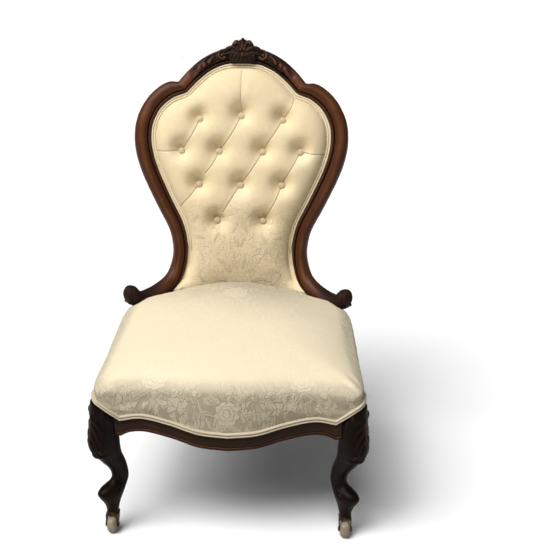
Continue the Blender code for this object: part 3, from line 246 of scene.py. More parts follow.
class Wire:  # a socket that adds and multiplies like a number
    def __init__(self, look, socket):
        self.look, self.socket = look, socket

    def do(self, operation, *others):
        return self.look.math(operation, self, *others)

    def __add__(self, other): return self.do("ADD", other)
    def __radd__(self, other): return self.do("ADD", other)
    def __sub__(self, other): return self.do("SUBTRACT", other)
    def __rsub__(self, other): return self.look.math("SUBTRACT", other, self)
    def __mul__(self, other): return self.do("MULTIPLY", other)
    def __truediv__(self, other): return self.do("DIVIDE", other)
    def __abs__(self): return self.do("ABSOLUTE")
    def sine(self): return self.do("SINE")
    def floor(self): return self.do("FLOOR")
    def root(self): return self.do("SQRT")
    def least(self, other): return self.do("MINIMUM", other)
    def most(self, other): return self.do("MAXIMUM", other)

    def step(self, low, high):  # a soft step from 0 at low to 1 at high
        return self.look.node("ShaderNodeMapRange", {"interpolation_type": "SMOOTHSTEP"},
                              {"Value": self, "From Min": low, "From Max": high})


class Look:
    def __init__(self, name):
        self.material = bpy.data.materials.new(name)
        self.material.use_nodes = True
        self.tree = self.material.node_tree
        self.shader = self.tree.nodes["Principled BSDF"]

    def plug(self, socket, value):
        if isinstance(value, Wire):
            self.tree.links.new(value.socket, socket)
        elif value is not None:
            socket.default_value = value

    def node(self, kind, settings=None, inputs=None, out=0):
        made = self.tree.nodes.new(kind)
        for key, value in (settings or {}).items():
            if key == "stops":
                ramp = made.color_ramp.elements
                while len(ramp) < len(value):
                    ramp.new(0.5)
                for stop, (place, colour) in zip(ramp, value):
                    stop.position, stop.color = place, (*colour, 1.0)
            else:
                setattr(made, key, value)
        rows = inputs.items() if isinstance(inputs, dict) else enumerate(inputs or [])
        for key, value in rows:
            self.plug(made.inputs[key], value)
        return Wire(self, made.outputs[out])

    def math(self, operation, *values):
        return self.node("ShaderNodeMath", {"operation": operation}, values)

    def at(self, space):  # places in "UV" or "Object" space
        return self.node("ShaderNodeTexCoord", out=space)

    def number(self, name):  # what setTone wrote for each vertex
        return self.node("ShaderNodeAttribute", {"attribute_name": name}, out=2)

    def firstTwo(self, vector):  # its first two numbers
        split = self.node("ShaderNodeSeparateXYZ", None, [vector])
        return split, Wire(self, split.socket.node.outputs[1])

    def blend(self, first, second, factor):  # between two colours
        made = self.tree.nodes.new("ShaderNodeMix")
        made.data_type = "RGBA"
        for socket, value in zip((made.inputs[0], made.inputs[6], made.inputs[7]), (factor, first, second)):
            self.plug(socket, (*value, 1.0) if isinstance(value, tuple) else value)
        return Wire(self, made.outputs[2])

    def noise(self, vector, scale, detail=3.0, roughness=0.55):
        return self.node("ShaderNodeTexNoise", None,
                         {"Vector": vector, "Scale": scale, "Detail": detail, "Roughness": roughness})

    def stretched(self, vector, by, turn=(0.0, 0.0, 0.0)):
        return self.node("ShaderNodeMapping", None, {"Vector": vector, "Scale": by, "Rotation": turn})

    def streaks(self, vector, by, detail, roughness=0.55, turn=(0.0, 0.0, 0.0)):
        return self.noise(self.stretched(vector, by, turn), 1.0, detail, roughness)

    def bump(self, height, distance, strength=1.0):
        normal = self.node("ShaderNodeBump", None, {"Height": height, "Distance": distance, "Strength": strength})
        self.plug(self.shader.inputs["Normal"], normal)

    def dress(self, **sockets):
        for key, value in sockets.items():
            socket = self.shader.inputs[key.replace("_", " ")]
            self.plug(socket, (*value, 1.0) if isinstance(value, tuple) and len(value) == 3 else value)
        return self.material


# French-polished walnut: streaks along the grain, pores, warm on rubbed high places and painted highlights, dark in
# hollows as painted shade
walnut = {  # deep, body and warm colours, then the shine
    "polished walnut": ((0.016, 0.0048, 0.0018), (0.118, 0.0385, 0.0135), (0.225, 0.076, 0.025), 0.16),
    "carved walnut": ((0.0060, 0.0027, 0.0014), (0.0340, 0.0142, 0.0068), (0.150, 0.056, 0.024), 0.12),
    "rail walnut": ((0.0090, 0.0036, 0.0016), (0.0360, 0.0145, 0.0066), (0.230, 0.083, 0.028), 0.10),
    "dark walnut": ((0.0024, 0.0012, 0.0006), (0.0098, 0.0046, 0.0021), (0.046, 0.0170, 0.0060), 0.06),
}


def walnutFinish(name, deep, body, warm, shine):
    look = Look(name)
    place = look.at("UV")
    grain = look.streaks(place, (6.0, 150.0, 150.0), 4.0, 0.6)
    bands = look.streaks(place, (2.2, 34.0, 34.0), 2.0)
    pore = look.streaks(place, (45.0, 900.0, 900.0), 1.0).step(0.62, 0.74)
    spots = look.noise(look.at("Object"), 22.0, 3.0)
    tone = look.number("tone")
    streak = (grain * 0.6 + bands * 0.6 - 0.1).step(0.25, 0.85)
    colour = look.blend(deep, body, streak * 0.75 + 0.25)
    # the tone of each piece holds painted highlights as well as wear on its high places
    rubbedAndLit = (tone * 1.25 + (spots - 0.5) * 0.7 + (streak - 0.5) * 0.3).step(0.15, 1.05)
    colour = look.blend(colour, warm, rubbedAndLit)
    # painted shade where the tone is low: quirks, sunk grounds of the carving, hidden faces
    hollow = (0.0 - tone).step(0.05, 0.8)
    colour = look.blend(colour, deep, hollow)
    colour = look.blend(colour, deep, pore * 0.45)
    rough = 0.33 + spots * 0.12 + pore * 0.14 + hollow * 0.25
    look.bump(grain * 0.35 - pore * 0.6 + spots * 0.5, 0.0005, 0.35)
    return look.dress(Base_Color=colour, Roughness=rough, Specular_IOR_Level=shine)


# Beech, brass, porcelain and steel
plain = {
    "beech": {"dark": (0.30, 0.17, 0.08), "light": (0.47, 0.31, 0.16), "fleck": (0.20, 0.10, 0.05)},
    "brass": {"clean": (0.135, 0.080, 0.032), "stain": (0.022, 0.015, 0.010)},
    "porcelain": {"glaze": (0.27, 0.222, 0.152), "cloud": (0.20, 0.155, 0.098), "craze": (0.17, 0.125, 0.08)},
    "steel": {"bright": (0.30, 0.29, 0.28), "rust": (0.16, 0.07, 0.035)},
}


def beechFinish(dark, light, fleck):
    look = Look("beech")
    place = look.at("Object")
    grain = look.streaks(place, (8.0, 140.0, 140.0), 3.0)
    flecks = look.streaks(place, (70.0, 500.0, 500.0), 1.0).step(0.6, 0.7)
    colour = look.blend(look.blend(dark, light, grain), fleck, flecks * 0.5)
    look.bump(grain, 0.0006, 0.4)
    return look.dress(Base_Color=colour, Roughness=0.55 + grain * 0.2)


def brassFinish(clean, stain):
    look = Look("aged brass")
    place = look.at("Object")
    cloud = look.noise(place, 160.0, 4.0)
    scratch = look.streaks(place, (900.0, 60.0, 900.0), 1.0)
    aged = cloud.step(0.34, 0.58)
    look.bump(cloud * 0.6 + scratch * 0.3, 0.0003, 0.5)
    return look.dress(Base_Color=look.blend(clean, stain, aged), Metallic=1.0 - aged * 0.55,
                      Roughness=0.34 + aged * 0.3 + scratch * 0.08)


def porcelainFinish(glaze, cloud, craze):
    look = Look("cream porcelain")
    place = look.at("Object")
    cells = look.node("ShaderNodeTexVoronoi", {"feature": "DISTANCE_TO_EDGE"}, {"Vector": place, "Scale": 320.0})
    haze = look.noise(place, 90.0, 3.0)
    line = 1.0 - cells.step(0.0, 0.035)
    colour = look.blend(glaze, cloud, haze.step(0.35, 0.7))
    colour = look.blend(colour, craze, line * 0.35 + haze.step(0.6, 0.8) * 0.2)
    look.bump(haze, 0.0004, 0.2)
    return look.dress(Base_Color=colour, Roughness=0.34 + haze * 0.14, Specular_IOR_Level=0.35)


def steelFinish(bright, rust):
    look = Look("spring steel")
    rusted = look.noise(look.at("Object"), 120.0, 3.0).step(0.52, 0.72)
    return look.dress(Base_Color=look.blend(bright, rust, rusted), Metallic=1.0 - rusted * 0.8,
                      Roughness=0.38 + rusted * 0.4)


# Plain weaves of round threads: dark and light colour, metres from thread to thread, roughness
weaves = {
    "hessian": ((0.17, 0.115, 0.06), (0.40, 0.30, 0.175), 0.0024, 0.9),
    "jute webbing": ((0.22, 0.15, 0.08), (0.47, 0.36, 0.22), 0.0030, 0.88),
    "black bottoming cloth": ((0.008, 0.008, 0.008), (0.035, 0.034, 0.033), 0.0012, 0.85),
}


def wovenFinish(name, dark, light, pitch, rough):
    look = Look(name)
    place = look.at("UV")
    x, y = look.firstTwo(place)
    wobble = look.noise(place, 60.0, 2.0)
    turn = 2.0 * math.pi / pitch
    over = (x * turn).sine() * (y * turn).sine()
    slub = look.streaks(place, (30.0, 900.0, 1.0), 2.0)
    shadeOf = (over * 0.35 + 0.45 + (slub - 0.5) * 0.7 + (wobble - 0.5) * 0.5).step(0.0, 1.0)
    look.bump(over * 0.5 + slub * 0.5, pitch * 0.35, 0.8)
    return look.dress(Base_Color=look.blend(dark, light, shadeOf), Roughness=rough)


# Folded pleats of the back: from and to, as x and z
pleats = (
    ((-0.100, 0.8105), (-0.1435, 0.7370)), ((0.0, 0.8190), (-0.0525, 0.7370)), ((0.100, 0.8105), (0.0525, 0.7370)),
    ((0.0525, 0.7370), (0.0, 0.6590)), ((-0.0525, 0.7370), (-0.085, 0.6880)), ((0.1435, 0.7370), (0.100, 0.6590)),
    ((0.0, 0.6590), (-0.0400, 0.5980)), ((0.100, 0.6590), (0.0555, 0.5740)), ((-0.100, 0.6590), (-0.1480, 0.6020)),
    ((-0.1435, 0.7370), (-0.2130, 0.7340)), ((0.1435, 0.7370), (0.2130, 0.7300)), ((0.0, 0.8190), (0.0, 0.9320)),
    ((0.100, 0.8105), (0.127, 0.8600)),
)
pleatBow = 0.0025
pleatEdge = (0.0003, 0.0016)  # how far from its line a fold is dark, then gone
pleatDepths = (1.0,) * (len(pleats) - 2) + (0.45, 0.7)  # the two at the top are only seams

# Cream damask, tone on tone: a flower between leaves, mirrored about its stem, in a half drop
damask = {
    "scale": 0.62,  # the repeat is drawn at this share of the sizes below
    "width": 0.245,
    "height": 0.33,
    # ground where the cover is faded and lit, ground where it is fresh and shaded (on the seat a painted shade for
    # its front and sides), figures and the lines round them
    "seat": {"ground": (0.785, 0.680, 0.478), "freshAndShaded": (0.240, 0.206, 0.140), "figure": (0.825, 0.728, 0.530),
             "line": (0.440, 0.365, 0.245)},
    "back": {"ground": (0.805, 0.655, 0.405), "freshAndShaded": (0.775, 0.630, 0.400), "figure": (0.890, 0.755, 0.515),
             "line": (0.370, 0.292, 0.175)},
    # colour of the painted shade in folds, pleats, beside the buttons and along the seat
    "crease": (0.300, 0.220, 0.115),
    "leafWidth": 0.0100,  # small leaves that crowd the ground
    "leafLength": 0.019,
    "leafVeins": 0.0042,
    "swirl": 0.045,
    "teeth": 0.012,  # along the big leaves
    "veins": 0.0075,
    "flower": (0.0, 0.035, 0.050),  # middle and radius
    "bud": (0.092, -0.085, 0.017),
    # root of each leaf, degrees from level, length, width, bend
    "leaves": (
        (0.008, -0.012, -32, 0.100, 0.024, 0.30),
        (0.004, -0.030, -68, 0.088, 0.019, -0.25),
        (0.034, 0.066, 48, 0.086, 0.021, 0.25),
        (0.010, 0.082, 80, 0.072, 0.016, -0.20),
        (0.046, 0.030, 6, 0.074, 0.019, 0.35),
        (0.100, -0.062, 102, 0.056, 0.013, -0.30),
        (0.080, -0.102, -66, 0.052, 0.013, 0.25),
        (0.004, -0.160, 62, 0.052, 0.014, 0.30),
    ),
}


def bowOf(number):  # how far one pleat bows from a straight line
    return pleatBow * math.sin(1.9 * number + 0.6)


def pleatLines(u, v):  # 1 in the folds, 0 beside them
    total = None
    for number, (((ax, az), (bx, bz)), depth) in enumerate(zip(pleats, pleatDepths)):
        length = math.hypot(bx - ax, bz - az)
        dx, dz = (bx - ax) / length, (bz - az) / length
        run = (u - ax) * dx + (v - az) * dz
        kept = run.most(0.0).least(length)
        aside = (v - az) * dx - (u - ax) * dz - (kept * (math.pi / length)).sine() * bowOf(number)
        past = run - kept
        near = (1.0 - (aside * aside + past * past).root().step(*pleatEdge)) * depth
        total = near if total is None else total.most(near)
    return total


def damaskFinish(name, colours, pleated=False):
    look = Look(name)
    place = look.at("UV")
    u, v = look.firstTwo(place)
    x, y = u / damask["scale"], v / damask["scale"]
    wander = look.noise(place, 38.0, 2.0) - 0.5
    width, height = damask["width"], damask["height"]
    column = (x / width + 0.5).floor()
    half = column * 0.5
    shifted = y + (half - half.floor()) * height
    row = (shifted / height + 0.5).floor()
    px = abs(x - column * width) + wander * 0.007
    py = shifted - row * height + wander * 0.009

    def leaf(atX, atY, angle, length, wide, bend):
        c, s = math.cos(math.radians(angle)), math.sin(math.radians(angle))
        a = (px - atX) * c + (py - atY) * s
        t = a / length
        b = abs((py - atY) * c - (px - atX) * s - a * (1.0 - t) * bend)
        teeth = ((a - b * 0.8) * (2.0 * math.pi / damask["teeth"])).sine() * 0.16 + 1.0
        inside = (t.most(0.0).root() * (1.0 - t) * (wide * 1.3) * teeth - b).step(-0.0006, 0.0026)
        veins = ((a - b * 1.5) * (2.0 * math.pi / damask["veins"])).sine().step(0.45, 0.95) * 0.6
        return inside * b.step(0.0004, 0.0013) * (1.0 - veins)

    def flower(atX, atY, radius):
        dx, dy = px - atX, py - atY
        r = (dx * dx + dy * dy).root()
        angle = look.math("ARCTAN2", dx, dy)

        def inside(share, petals):  # how far inside the rim of one ring of petals
            return abs((angle * petals).sine()) * (0.2 * radius * share) + 0.8 * radius * share - r

        outer = inside(1.0, 4.5)
        total = outer.step(0.0, 0.0012) * abs(outer - 0.0014).step(0.0004, 0.0014)
        for share, petals in ((0.66, 3.5), (0.34, 2.5)):
            total = total * (1.0 - abs(inside(share, petals)).step(0.0012, 0.0002) * 0.9)
        return total

    figure = flower(*damask["flower"]).most(flower(*damask["bud"]))
    for blade in damask["leaves"]:
        figure = figure.most(leaf(*blade))
    drift = look.node("ShaderNodeTexNoise", None, {"Vector": place, "Scale": 24.0, "Detail": 2.0}, out=1)
    swirl = look.node("ShaderNodeVectorMath", {"operation": "MULTIPLY_ADD"},
                      [drift, (damask["swirl"],) * 3, place])
    crowd = look.stretched(swirl, (1.0 / damask["leafWidth"], 1.0 / damask["leafLength"], 1.0))
    flat = {"voronoi_dimensions": "2D"}
    cells = {"Vector": crowd, "Scale": 1.0}
    rim = look.node("ShaderNodeTexVoronoi", {**flat, "feature": "DISTANCE_TO_EDGE"}, cells)
    lot = look.node("ShaderNodeTexVoronoi", flat, cells, out=1)
    chance, light = look.firstTwo(lot)
    turn = chance * (2.0 * math.pi)
    across = u * turn.do("COSINE") + v * turn.sine()
    veins = (across * (2.0 * math.pi / damask["leafVeins"])).sine().step(0.1, 0.9)
    foliage = rim.step(0.02, 0.13) * (light.step(0.30, 0.60) * 0.8 + 0.2) * (1.0 - veins * 0.55)
    weft = look.streaks(place, (34.0, 820.0, 1.0), 2.0)
    warp = look.streaks(place, (900.0, 60.0, 1.0), 1.0)
    soil = look.noise(place, 9.0, 3.0)
    drawn = (1.0 - rim.step(0.0, 0.13)) * look.noise(place, 70.0, 2.0).step(0.47, 0.62)
    speck = look.streaks(place, (330.0, 520.0, 1.0), 2.0).step(0.28, 0.72)
    # faded is high on lit faces that look up, so its opposite marks the faces in painted shade and the fresh figures
    freshAndShaded = 1.0 - look.number("faded")
    outline = figure * (1.0 - figure) * 4.0
    # painted shade: toward the fresh ground, which on the seat is dark for its front and sides
    ground = look.blend(colours["ground"], colours["freshAndShaded"], freshAndShaded * 0.85)
    pattern = (figure * (freshAndShaded * 0.20 + 0.35)).most(foliage * (freshAndShaded * 0.48 + 0.10)) * (speck * 0.62 + 0.55)
    colour = look.blend(ground, colours["figure"], pattern)
    thread = (0.10 - (weft - 0.5) * (1.0 - figure * 0.55) * 1.15).step(0.0, 0.42)
    colour = look.blend(colour, colours["line"], thread * (freshAndShaded * 0.44 + 0.12))
    lines = outline.most(drawn) * freshAndShaded * 0.46 + soil.step(0.50, 0.85) * 0.14
    colour = look.blend(colour, colours["line"], lines)
    # painted shade from the fold number
    colour = look.blend(colour, damask["crease"], look.number("fold") * 0.55)
    relief = figure.most(foliage * 0.7) * (freshAndShaded * 1.30 + 0.20) + weft * 0.35 + warp * 0.15
    if pleated:
        folded = pleatLines(u, v)
        # painted shade along the pleats
        colour = look.blend(colour, damask["crease"], folded * 0.62)
        relief = relief - folded * 1.1
    look.bump(relief, 0.0009, 0.9)
    return look.dress(Base_Color=colour, Roughness=0.82 - figure * 0.20, Sheen_Weight=0.1, Sheen_Roughness=0.5)


# The same cover, cut on the cross round cords and buttons: ground and figure
cordColours = {
    # the seat's cord and the button cloth are darker than the cover: painted shade under the seat's roll and in the
    # dimples
    "seat cord": ((0.455, 0.390, 0.275), (0.520, 0.450, 0.325)),
    "back cord": ((0.760, 0.645, 0.440), (0.800, 0.690, 0.490)),
    "button cloth": ((0.570, 0.472, 0.300), (0.630, 0.526, 0.345)),
}


def cordFinish(name, ground, figure):
    look = Look(name)
    place = look.at("UV")
    twill = look.streaks(place, (500.0, 900.0, 1.0), 2.0, turn=(0.0, 0.0, 0.7))
    pull = look.streaks(place, (120.0, 20.0, 1.0), 2.0)
    soil = look.noise(place, 14.0, 2.0).step(0.45, 0.8) * 0.2 + pull.step(0.55, 0.8) * 0.12
    colour = look.blend(look.blend(ground, figure, twill), damask["seat"]["line"], soil)
    look.bump(twill * 0.5 + pull * 0.5, 0.0006, 0.5)
    return look.dress(Base_Color=colour, Roughness=0.72 + twill * 0.12, Sheen_Weight=0.15)


stileWalnut, crestWalnut, railWalnut, legWalnut = (walnutFinish(name, *row) for name, row in walnut.items())
cover = damaskFinish("cream damask", damask["seat"])
backCover = damaskFinish("pleated damask", damask["back"], pleated=True)
seatCord, backCord, buttonCloth = (cordFinish(name, *pair) for name, pair in cordColours.items())
brass, porcelain = brassFinish(**plain["brass"]), porcelainFinish(**plain["porcelain"])
beech, steel = beechFinish(**plain["beech"]), steelFinish(**plain["steel"])
hessian, webCloth, blackCloth = (wovenFinish(name, *row) for name, row in weaves.items())
print("finishes made")

# Stage: pale floor, white surround, soft light from high on the left

stage = {
    "floor": 14.0,
    "floorColour": (0.94, 0.94, 0.94),
    "lift": 0.02,  # what the camera sees the floor glow by
    "dimFloor": (0.48, 0.47, 0.455),  # what light that bounces off the floor meets
    "sky": 0.11,
    "aim": (0.0, 0.0, 0.45),  # what the lamp looks at
    "suns": (
        {"name": "high", "source": (-0.25, -0.48, 1.0), "spread": 34.0, "power": 1.95},
        {"name": "left", "source": (-0.72, -0.46, 1.0), "spread": 38.0, "power": 2.10},
    ),
    "front": {"at": (-0.9, -3.0, 2.0), "size": 1.2, "power": 5.0},
}


def makeFloor():
    pickNothing()
    bpy.ops.mesh.primitive_plane_add(size=stage["floor"])
    floor = bpy.context.object
    floor.name = "floor"
    look = Look("pale floor")
    paths = look.tree.nodes.new("ShaderNodeLightPath")
    seen = Wire(look, paths.outputs["Is Camera Ray"]).most(Wire(look, paths.outputs["Is Glossy Ray"]))
    seen = seen.most(Wire(look, paths.outputs["Is Transmission Ray"]))
    cloud = look.noise(look.at("Object"), 3.0, 2.0)
    colour = look.blend(stage["floorColour"], tuple(c * 1.015 for c in stage["floorColour"]), cloud)
    colour = look.blend(colour, stage["dimFloor"], Wire(look, paths.outputs["Is Diffuse Ray"]))
    glow = look.blend((0.0, 0.0, 0.0), (1.0, 1.0, 1.0), seen)
    floor.data.materials.append(look.dress(Base_Color=colour, Roughness=0.8, Specular_IOR_Level=0.1,
                                           Emission_Color=glow, Emission_Strength=stage["lift"]))


def makeSky():
    world = bpy.data.worlds.new("surround")
    bpy.context.scene.world = world
    world.use_nodes = True
    nodes, links = world.node_tree.nodes, world.node_tree.links
    paths = nodes.new("ShaderNodeLightPath")
    seen = nodes.new("ShaderNodeMath")
    seen.operation = "MAXIMUM"
    links.new(paths.outputs["Is Camera Ray"], seen.inputs[0])
    links.new(paths.outputs["Is Transmission Ray"], seen.inputs[1])
    light, white = nodes["Background"], nodes.new("ShaderNodeBackground")
    for shader, strength in ((light, stage["sky"]), (white, 1.0)):
        shader.inputs[0].default_value = (1.0, 1.0, 1.0, 1.0)
        shader.inputs[1].default_value = strength
    mix = nodes.new("ShaderNodeMixShader")
    for number, source in enumerate((seen, light, white)):
        links.new(source.outputs[0], mix.inputs[number])
    links.new(mix.outputs[0], nodes["World Output"].inputs[0])


def makeLamp(name, at, size, power):
    pickNothing()
    aim = Vector(stage["aim"]) - Vector(at)
    bpy.ops.object.light_add(type="AREA", location=at, rotation=aim.to_track_quat("-Z", "Y").to_euler())
    lamp = bpy.context.object
    lamp.name = name
    lamp.data.size = size
    lamp.data.energy = power


def makeSun(name, source, spread, power):
    pickNothing()
    bpy.ops.object.light_add(type="SUN", rotation=Vector(source).to_track_quat("Z", "Y").to_euler())
    sun = bpy.context.object
    sun.name = name
    sun.data.angle = math.radians(spread)
    sun.data.energy = power


# Camera: angles in radians, focal length and frame in the photo's pixels, sensor in millimetres
view = {"at": (0.128, -2.377, 1.333), "yaw": 0.016, "pitch": 0.336, "roll": 0.013,
        "focal": 1100.0, "frame": 550.0, "sensor": 36.0}


def makeCamera():
    cy, sy = math.cos(view["yaw"]), math.sin(view["yaw"])
    cp, sp = math.cos(view["pitch"]), math.sin(view["pitch"])
    cr, sr = math.cos(view["roll"]), math.sin(view["roll"])
    right, ahead = Vector((cy, sy, 0.0)), Vector((-sy * cp, cy * cp, -sp))
    up = Vector((-sy * sp, cy * sp, cp))
    right, up = right * cr + up * sr, up * cr - right * sr
    turn = Matrix((right, up, -ahead)).transposed().to_4x4()
    pickNothing()
    bpy.ops.object.camera_add()
    camera = bpy.context.object
    camera.matrix_world = Matrix.Translation(view["at"]) @ turn
    camera.data.sensor_width = view["sensor"]
    camera.data.lens = view["sensor"] * view["focal"] / view["frame"]
    bpy.context.scene.camera = camera


makeFloor()
makeSky()
for sun in stage["suns"]:
    makeSun(**sun)
makeLamp("front", **stage["front"])
makeCamera()
bpy.context.scene.view_settings.view_transform = "Standard"
print("stage set")

# Back frame, on a surface that leans back more the higher it goes

back = {"y": 0.20299, "lean": 0.08, "curve": 0.378, "waist": 0.5}


def backY(z):
    up = np.asarray(z) - back["waist"]
    return back["y"] + back["lean"] * up + back["curve"] * up * up


def backNormal(z):  # points behind the back
    slope = back["lean"] + 2.0 * back["curve"] * (np.asarray(z, dtype=float) - back["waist"])
    return unit(np.stack((np.zeros_like(slope), np.ones_like(slope), -slope), -1))


def backPoint(x, z, behind=0.0):
    x, z, behind = np.broadcast_arrays(np.asarray(x, dtype=float), z, behind)
    return np.stack((x, backY(z), z), -1) + backNormal(z) * behind[..., None]


stile = {
    "joint": (0.1445, 0.881),  # mitre with the crest
    "jointHalf": 0.0168,
    "jointAngle": math.radians(50.7),
    "mitreRun": 0.035,
    "half": 0.0205,
    "slim": 0.0022, "slimFrom": 5, "slimRun": 4,  # half width lost, and over which rows of the path
    "halfDepth": 0.018,
    "steps": 9,
    "openRows": 13,  # rows that bound the opening of the back
    "turnRows": slice(11, 7, -1),  # rows where it turns forwards, from the lowest up
    "lowStations": 60,  # the ones that rest on the seat
    "foot": (0.68, 0.24), "footShade": 1.00,  # by share of the length
    "mitre": (0.2, -0.2), "mitreShade": 0.10,
    # x, z, distance ahead of the back surface, turn outwards
    "path": (
        (0.1780, 0.8725, 0.000, 0.00), (0.2115, 0.8455, 0.000, 0.00), (0.2335, 0.8060, 0.000, 0.00),
        (0.2393, 0.7670, 0.000, 0.00), (0.2345, 0.7270, 0.000, 0.00), (0.2185, 0.6795, 0.000, 0.00),
        (0.1860, 0.6110, 0.000, 0.00), (0.1570, 0.5520, 0.000, 0.00), (0.1475, 0.5020, 0.000, 0.00),
        (0.1510, 0.4620, 0.006, 0.05), (0.1645, 0.4275, 0.024, 0.20), (0.1920, 0.4060, 0.051, 0.50),
        (0.2235, 0.3955, 0.078, 0.80), (0.2430, 0.3990, 0.096, 0.90), (0.2550, 0.4100, 0.108, 0.90),
    ),
}
crest = {
    "middle": 0.955, "half": 0.020, "path": ((0.045, 0.9505), (0.085, 0.9340), (0.118, 0.9085)), "steps": 26,
    "front": (0.2, -0.5), "frontEdge": (-0.66, 0.1),  # where the section is carved
    "sink": 0.0022, "sinkAlong": (0.146, -0.012), "sinkAcross": (0.62, -0.25),  # ground of the carving
    "endTone": (0.105, 0.035),
}
carvedTone = 170.0  # tone for each metre that a carving stands up

# Section of stile and crest in half widths outwards and half depths rearwards, from the hidden
# rear round the inner bead and its quirk to the main roll
moulding = (
    (-0.55, 1.00), (-0.94, 0.97), (-1.00, 0.60), (-1.00, 0.10), (-1.00, -0.35), (-0.985, -0.55), (-0.92, -0.68),
    (-0.83, -0.72), (-0.745, -0.67), (-0.69, -0.56), (-0.655, -0.48), (-0.62, -0.56), (-0.555, -0.76),
    (-0.42, -0.90), (-0.20, -0.97), (0.05, -1.00), (0.35, -0.95), (0.62, -0.80), (0.84, -0.52), (0.96, -0.15),
    (1.00, 0.20), (0.97, 0.55), (0.86, 0.82), (0.62, 0.97), (0.10, 1.00),
)
mouldingRing = ringCurve(moulding, 4)


def mouldingLightShade(w, d):  # painted shade in the quirk, on the bead beside the cover and on the hidden rear, a painted highlight on the crown of the roll
    quirk = np.exp(-((w + 0.655) / 0.055) ** 2) * (d < -0.3)
    bead = np.exp(-((w + 0.84) / 0.08) ** 2) * (d < -0.5)
    crown = np.exp(-((w - 0.12) / 0.40) ** 2) * (d < 0.0)
    return 0.40 * crown - 0.30 * bead - 1.2 * quirk - 0.35 * (d > 0.6)


def mitreLine():
    slope = back["lean"] + 2.0 * back["curve"] * (stile["joint"][1] - back["waist"])
    c, s = math.cos(stile["jointAngle"]), math.sin(stile["jointAngle"])
    return unit((c, slope * s, s))


def stations(fine, ahead, turn, ends):  # centre, across and behind along a frame member
    centre = backPoint(fine[:, 0], fine[:, 1]) - np.stack((ahead * 0, ahead, ahead * 0), -1)
    run = unit(np.gradient(centre, axis=0))
    behind = unit(backNormal(fine[:, 1]) + np.stack((turn, turn * 0, turn * 0), -1))
    across = unit(np.cross(run, behind))
    length = along(centre)
    for line, gone in zip(ends, (length, length[-1] - length)):
        if line is not None:
            share = ease(gone / stile["mitreRun"])[:, None]
            across = unit(line * (1.0 - share) + across * share)
    behind = unit(behind - across * (behind * across).sum(axis=1, keepdims=True))
    return centre, across, behind


def stileStations():
    rows = [(*stile["joint"], 0.0, 0.0, stile["jointHalf"])]
    for k, row in enumerate(stile["path"], 1):
        slim = min(1.0, max(0.0, (k - stile["slimFrom"]) / stile["slimRun"]))
        rows.append((*row, stile["half"] - stile["slim"] * slim))
    fine = curve(rows, stile["steps"])
    centre, across, behind = stations(fine[:, :2], fine[:, 2], fine[:, 3], (mitreLine(), None))
    return centre, across, behind, fine[:, 4]


def crestStations():
    rows = [(0.0, crest["middle"], crest["half"])]
    for k, (x, z) in enumerate(crest["path"], 1):
        share = k / (len(crest["path"]) + 1)
        rows.append((x, z, crest["half"] + share * (stile["jointHalf"] - crest["half"])))
    rows.append((*stile["joint"], stile["jointHalf"]))
    fine = curve([(-x, z, half) for x, z, half in rows[:0:-1]] + rows, crest["steps"])
    line = mitreLine()
    flat = np.zeros(len(fine))
    centre, across, behind = stations(fine[:, :2], flat, flat, (sided(line, -1), line))
    return centre, across, behind, fine[:, 2]


def mouldingPlaces(centre, across, behind, half):
    w = mouldingRing[:, 0] * half[:, None]
    d = np.broadcast_to(mouldingRing[:, 1] * stile["halfDepth"], w.shape)
    return centre[:, None] + across[:, None] * w[..., None] + behind[:, None] * d[..., None], w


def outOf(places):  # unit normals of a grid of places
    first = np.gradient(places, axis=0)
    second = np.gradient(places, axis=1)
    second[:, 0] = second[:, -1] = places[:, 1] - places[:, -2]
    return unit(np.cross(second, first))


stileLine = stileStations()
crestLine = crestStations()
# painted highlight and painted shade round the moulding, shared by stiles and crest
frameLightShade = mouldingLightShade(mouldingRing[:, 0], mouldingRing[:, 1])

# Scroll at the foot of a stile: a fluted shell, higher on the outside, that narrows to its foot
scrollEnd = {"at": (0.2532, 0.0905, 0.4134), "radii": (0.0222, 0.0205, 0.0242), "flutes": 7, "deep": 0.120,
             "rise": 0.20, "narrow": 0.34, "drift": 0.0055, "foot": (1.5, 1.5), "columns": 61, "rows": 109}


def stileScroll(side):
    theta, phi = shares(scrollEnd["columns"], scrollEnd["rows"], ball)
    lobe = np.abs(np.sin(phi * scrollEnd["flutes"] / 2.0)) ** 0.6
    fade = np.sin(theta) ** 0.5
    radius = 1.0 - scrollEnd["deep"] * (1.0 - lobe) * fade
    local = np.stack((np.sin(theta) * np.cos(phi), np.sin(theta) * np.sin(phi), np.cos(theta)), -1)
    foot = ramp(theta, *scrollEnd["foot"])
    local[..., :2] *= (1.0 - scrollEnd["narrow"] * foot)[..., None]
    local[..., 2] += scrollEnd["rise"] * local[..., 0]
    places = np.array(scrollEnd["at"]) + local * radius[..., None] * np.array(scrollEnd["radii"])
    places[..., 0] += scrollEnd["drift"] * foot
    # a dark knob, lighter on the lobes and darker in the flutes: painted shade in the grooves
    tones = (lobe - 0.75) * fade * 0.5 - 0.9
    return skin("scroll", sided(places, side), capped=False, tones=tones)


def makeStile(word, side):
    places, _ = mouldingPlaces(*stileLine)
    turn = np.linspace(0.0, 1.0, len(places))[:, None]
    tones = frameLightShade[None] - stile["footShade"] * ramp(turn, *stile["foot"])
    tones = tones - stile["mitreShade"] * ramp(turn, *stile["mitre"])
    moulded = skin("stile", sided(places, side), tones=tones)
    piece = join([moulded, stileScroll(side)], f"stile_{word}")
    shade(piece, 60)
    settle(piece, "chair", "walnut", stileWalnut, f"back_stile_{word}")


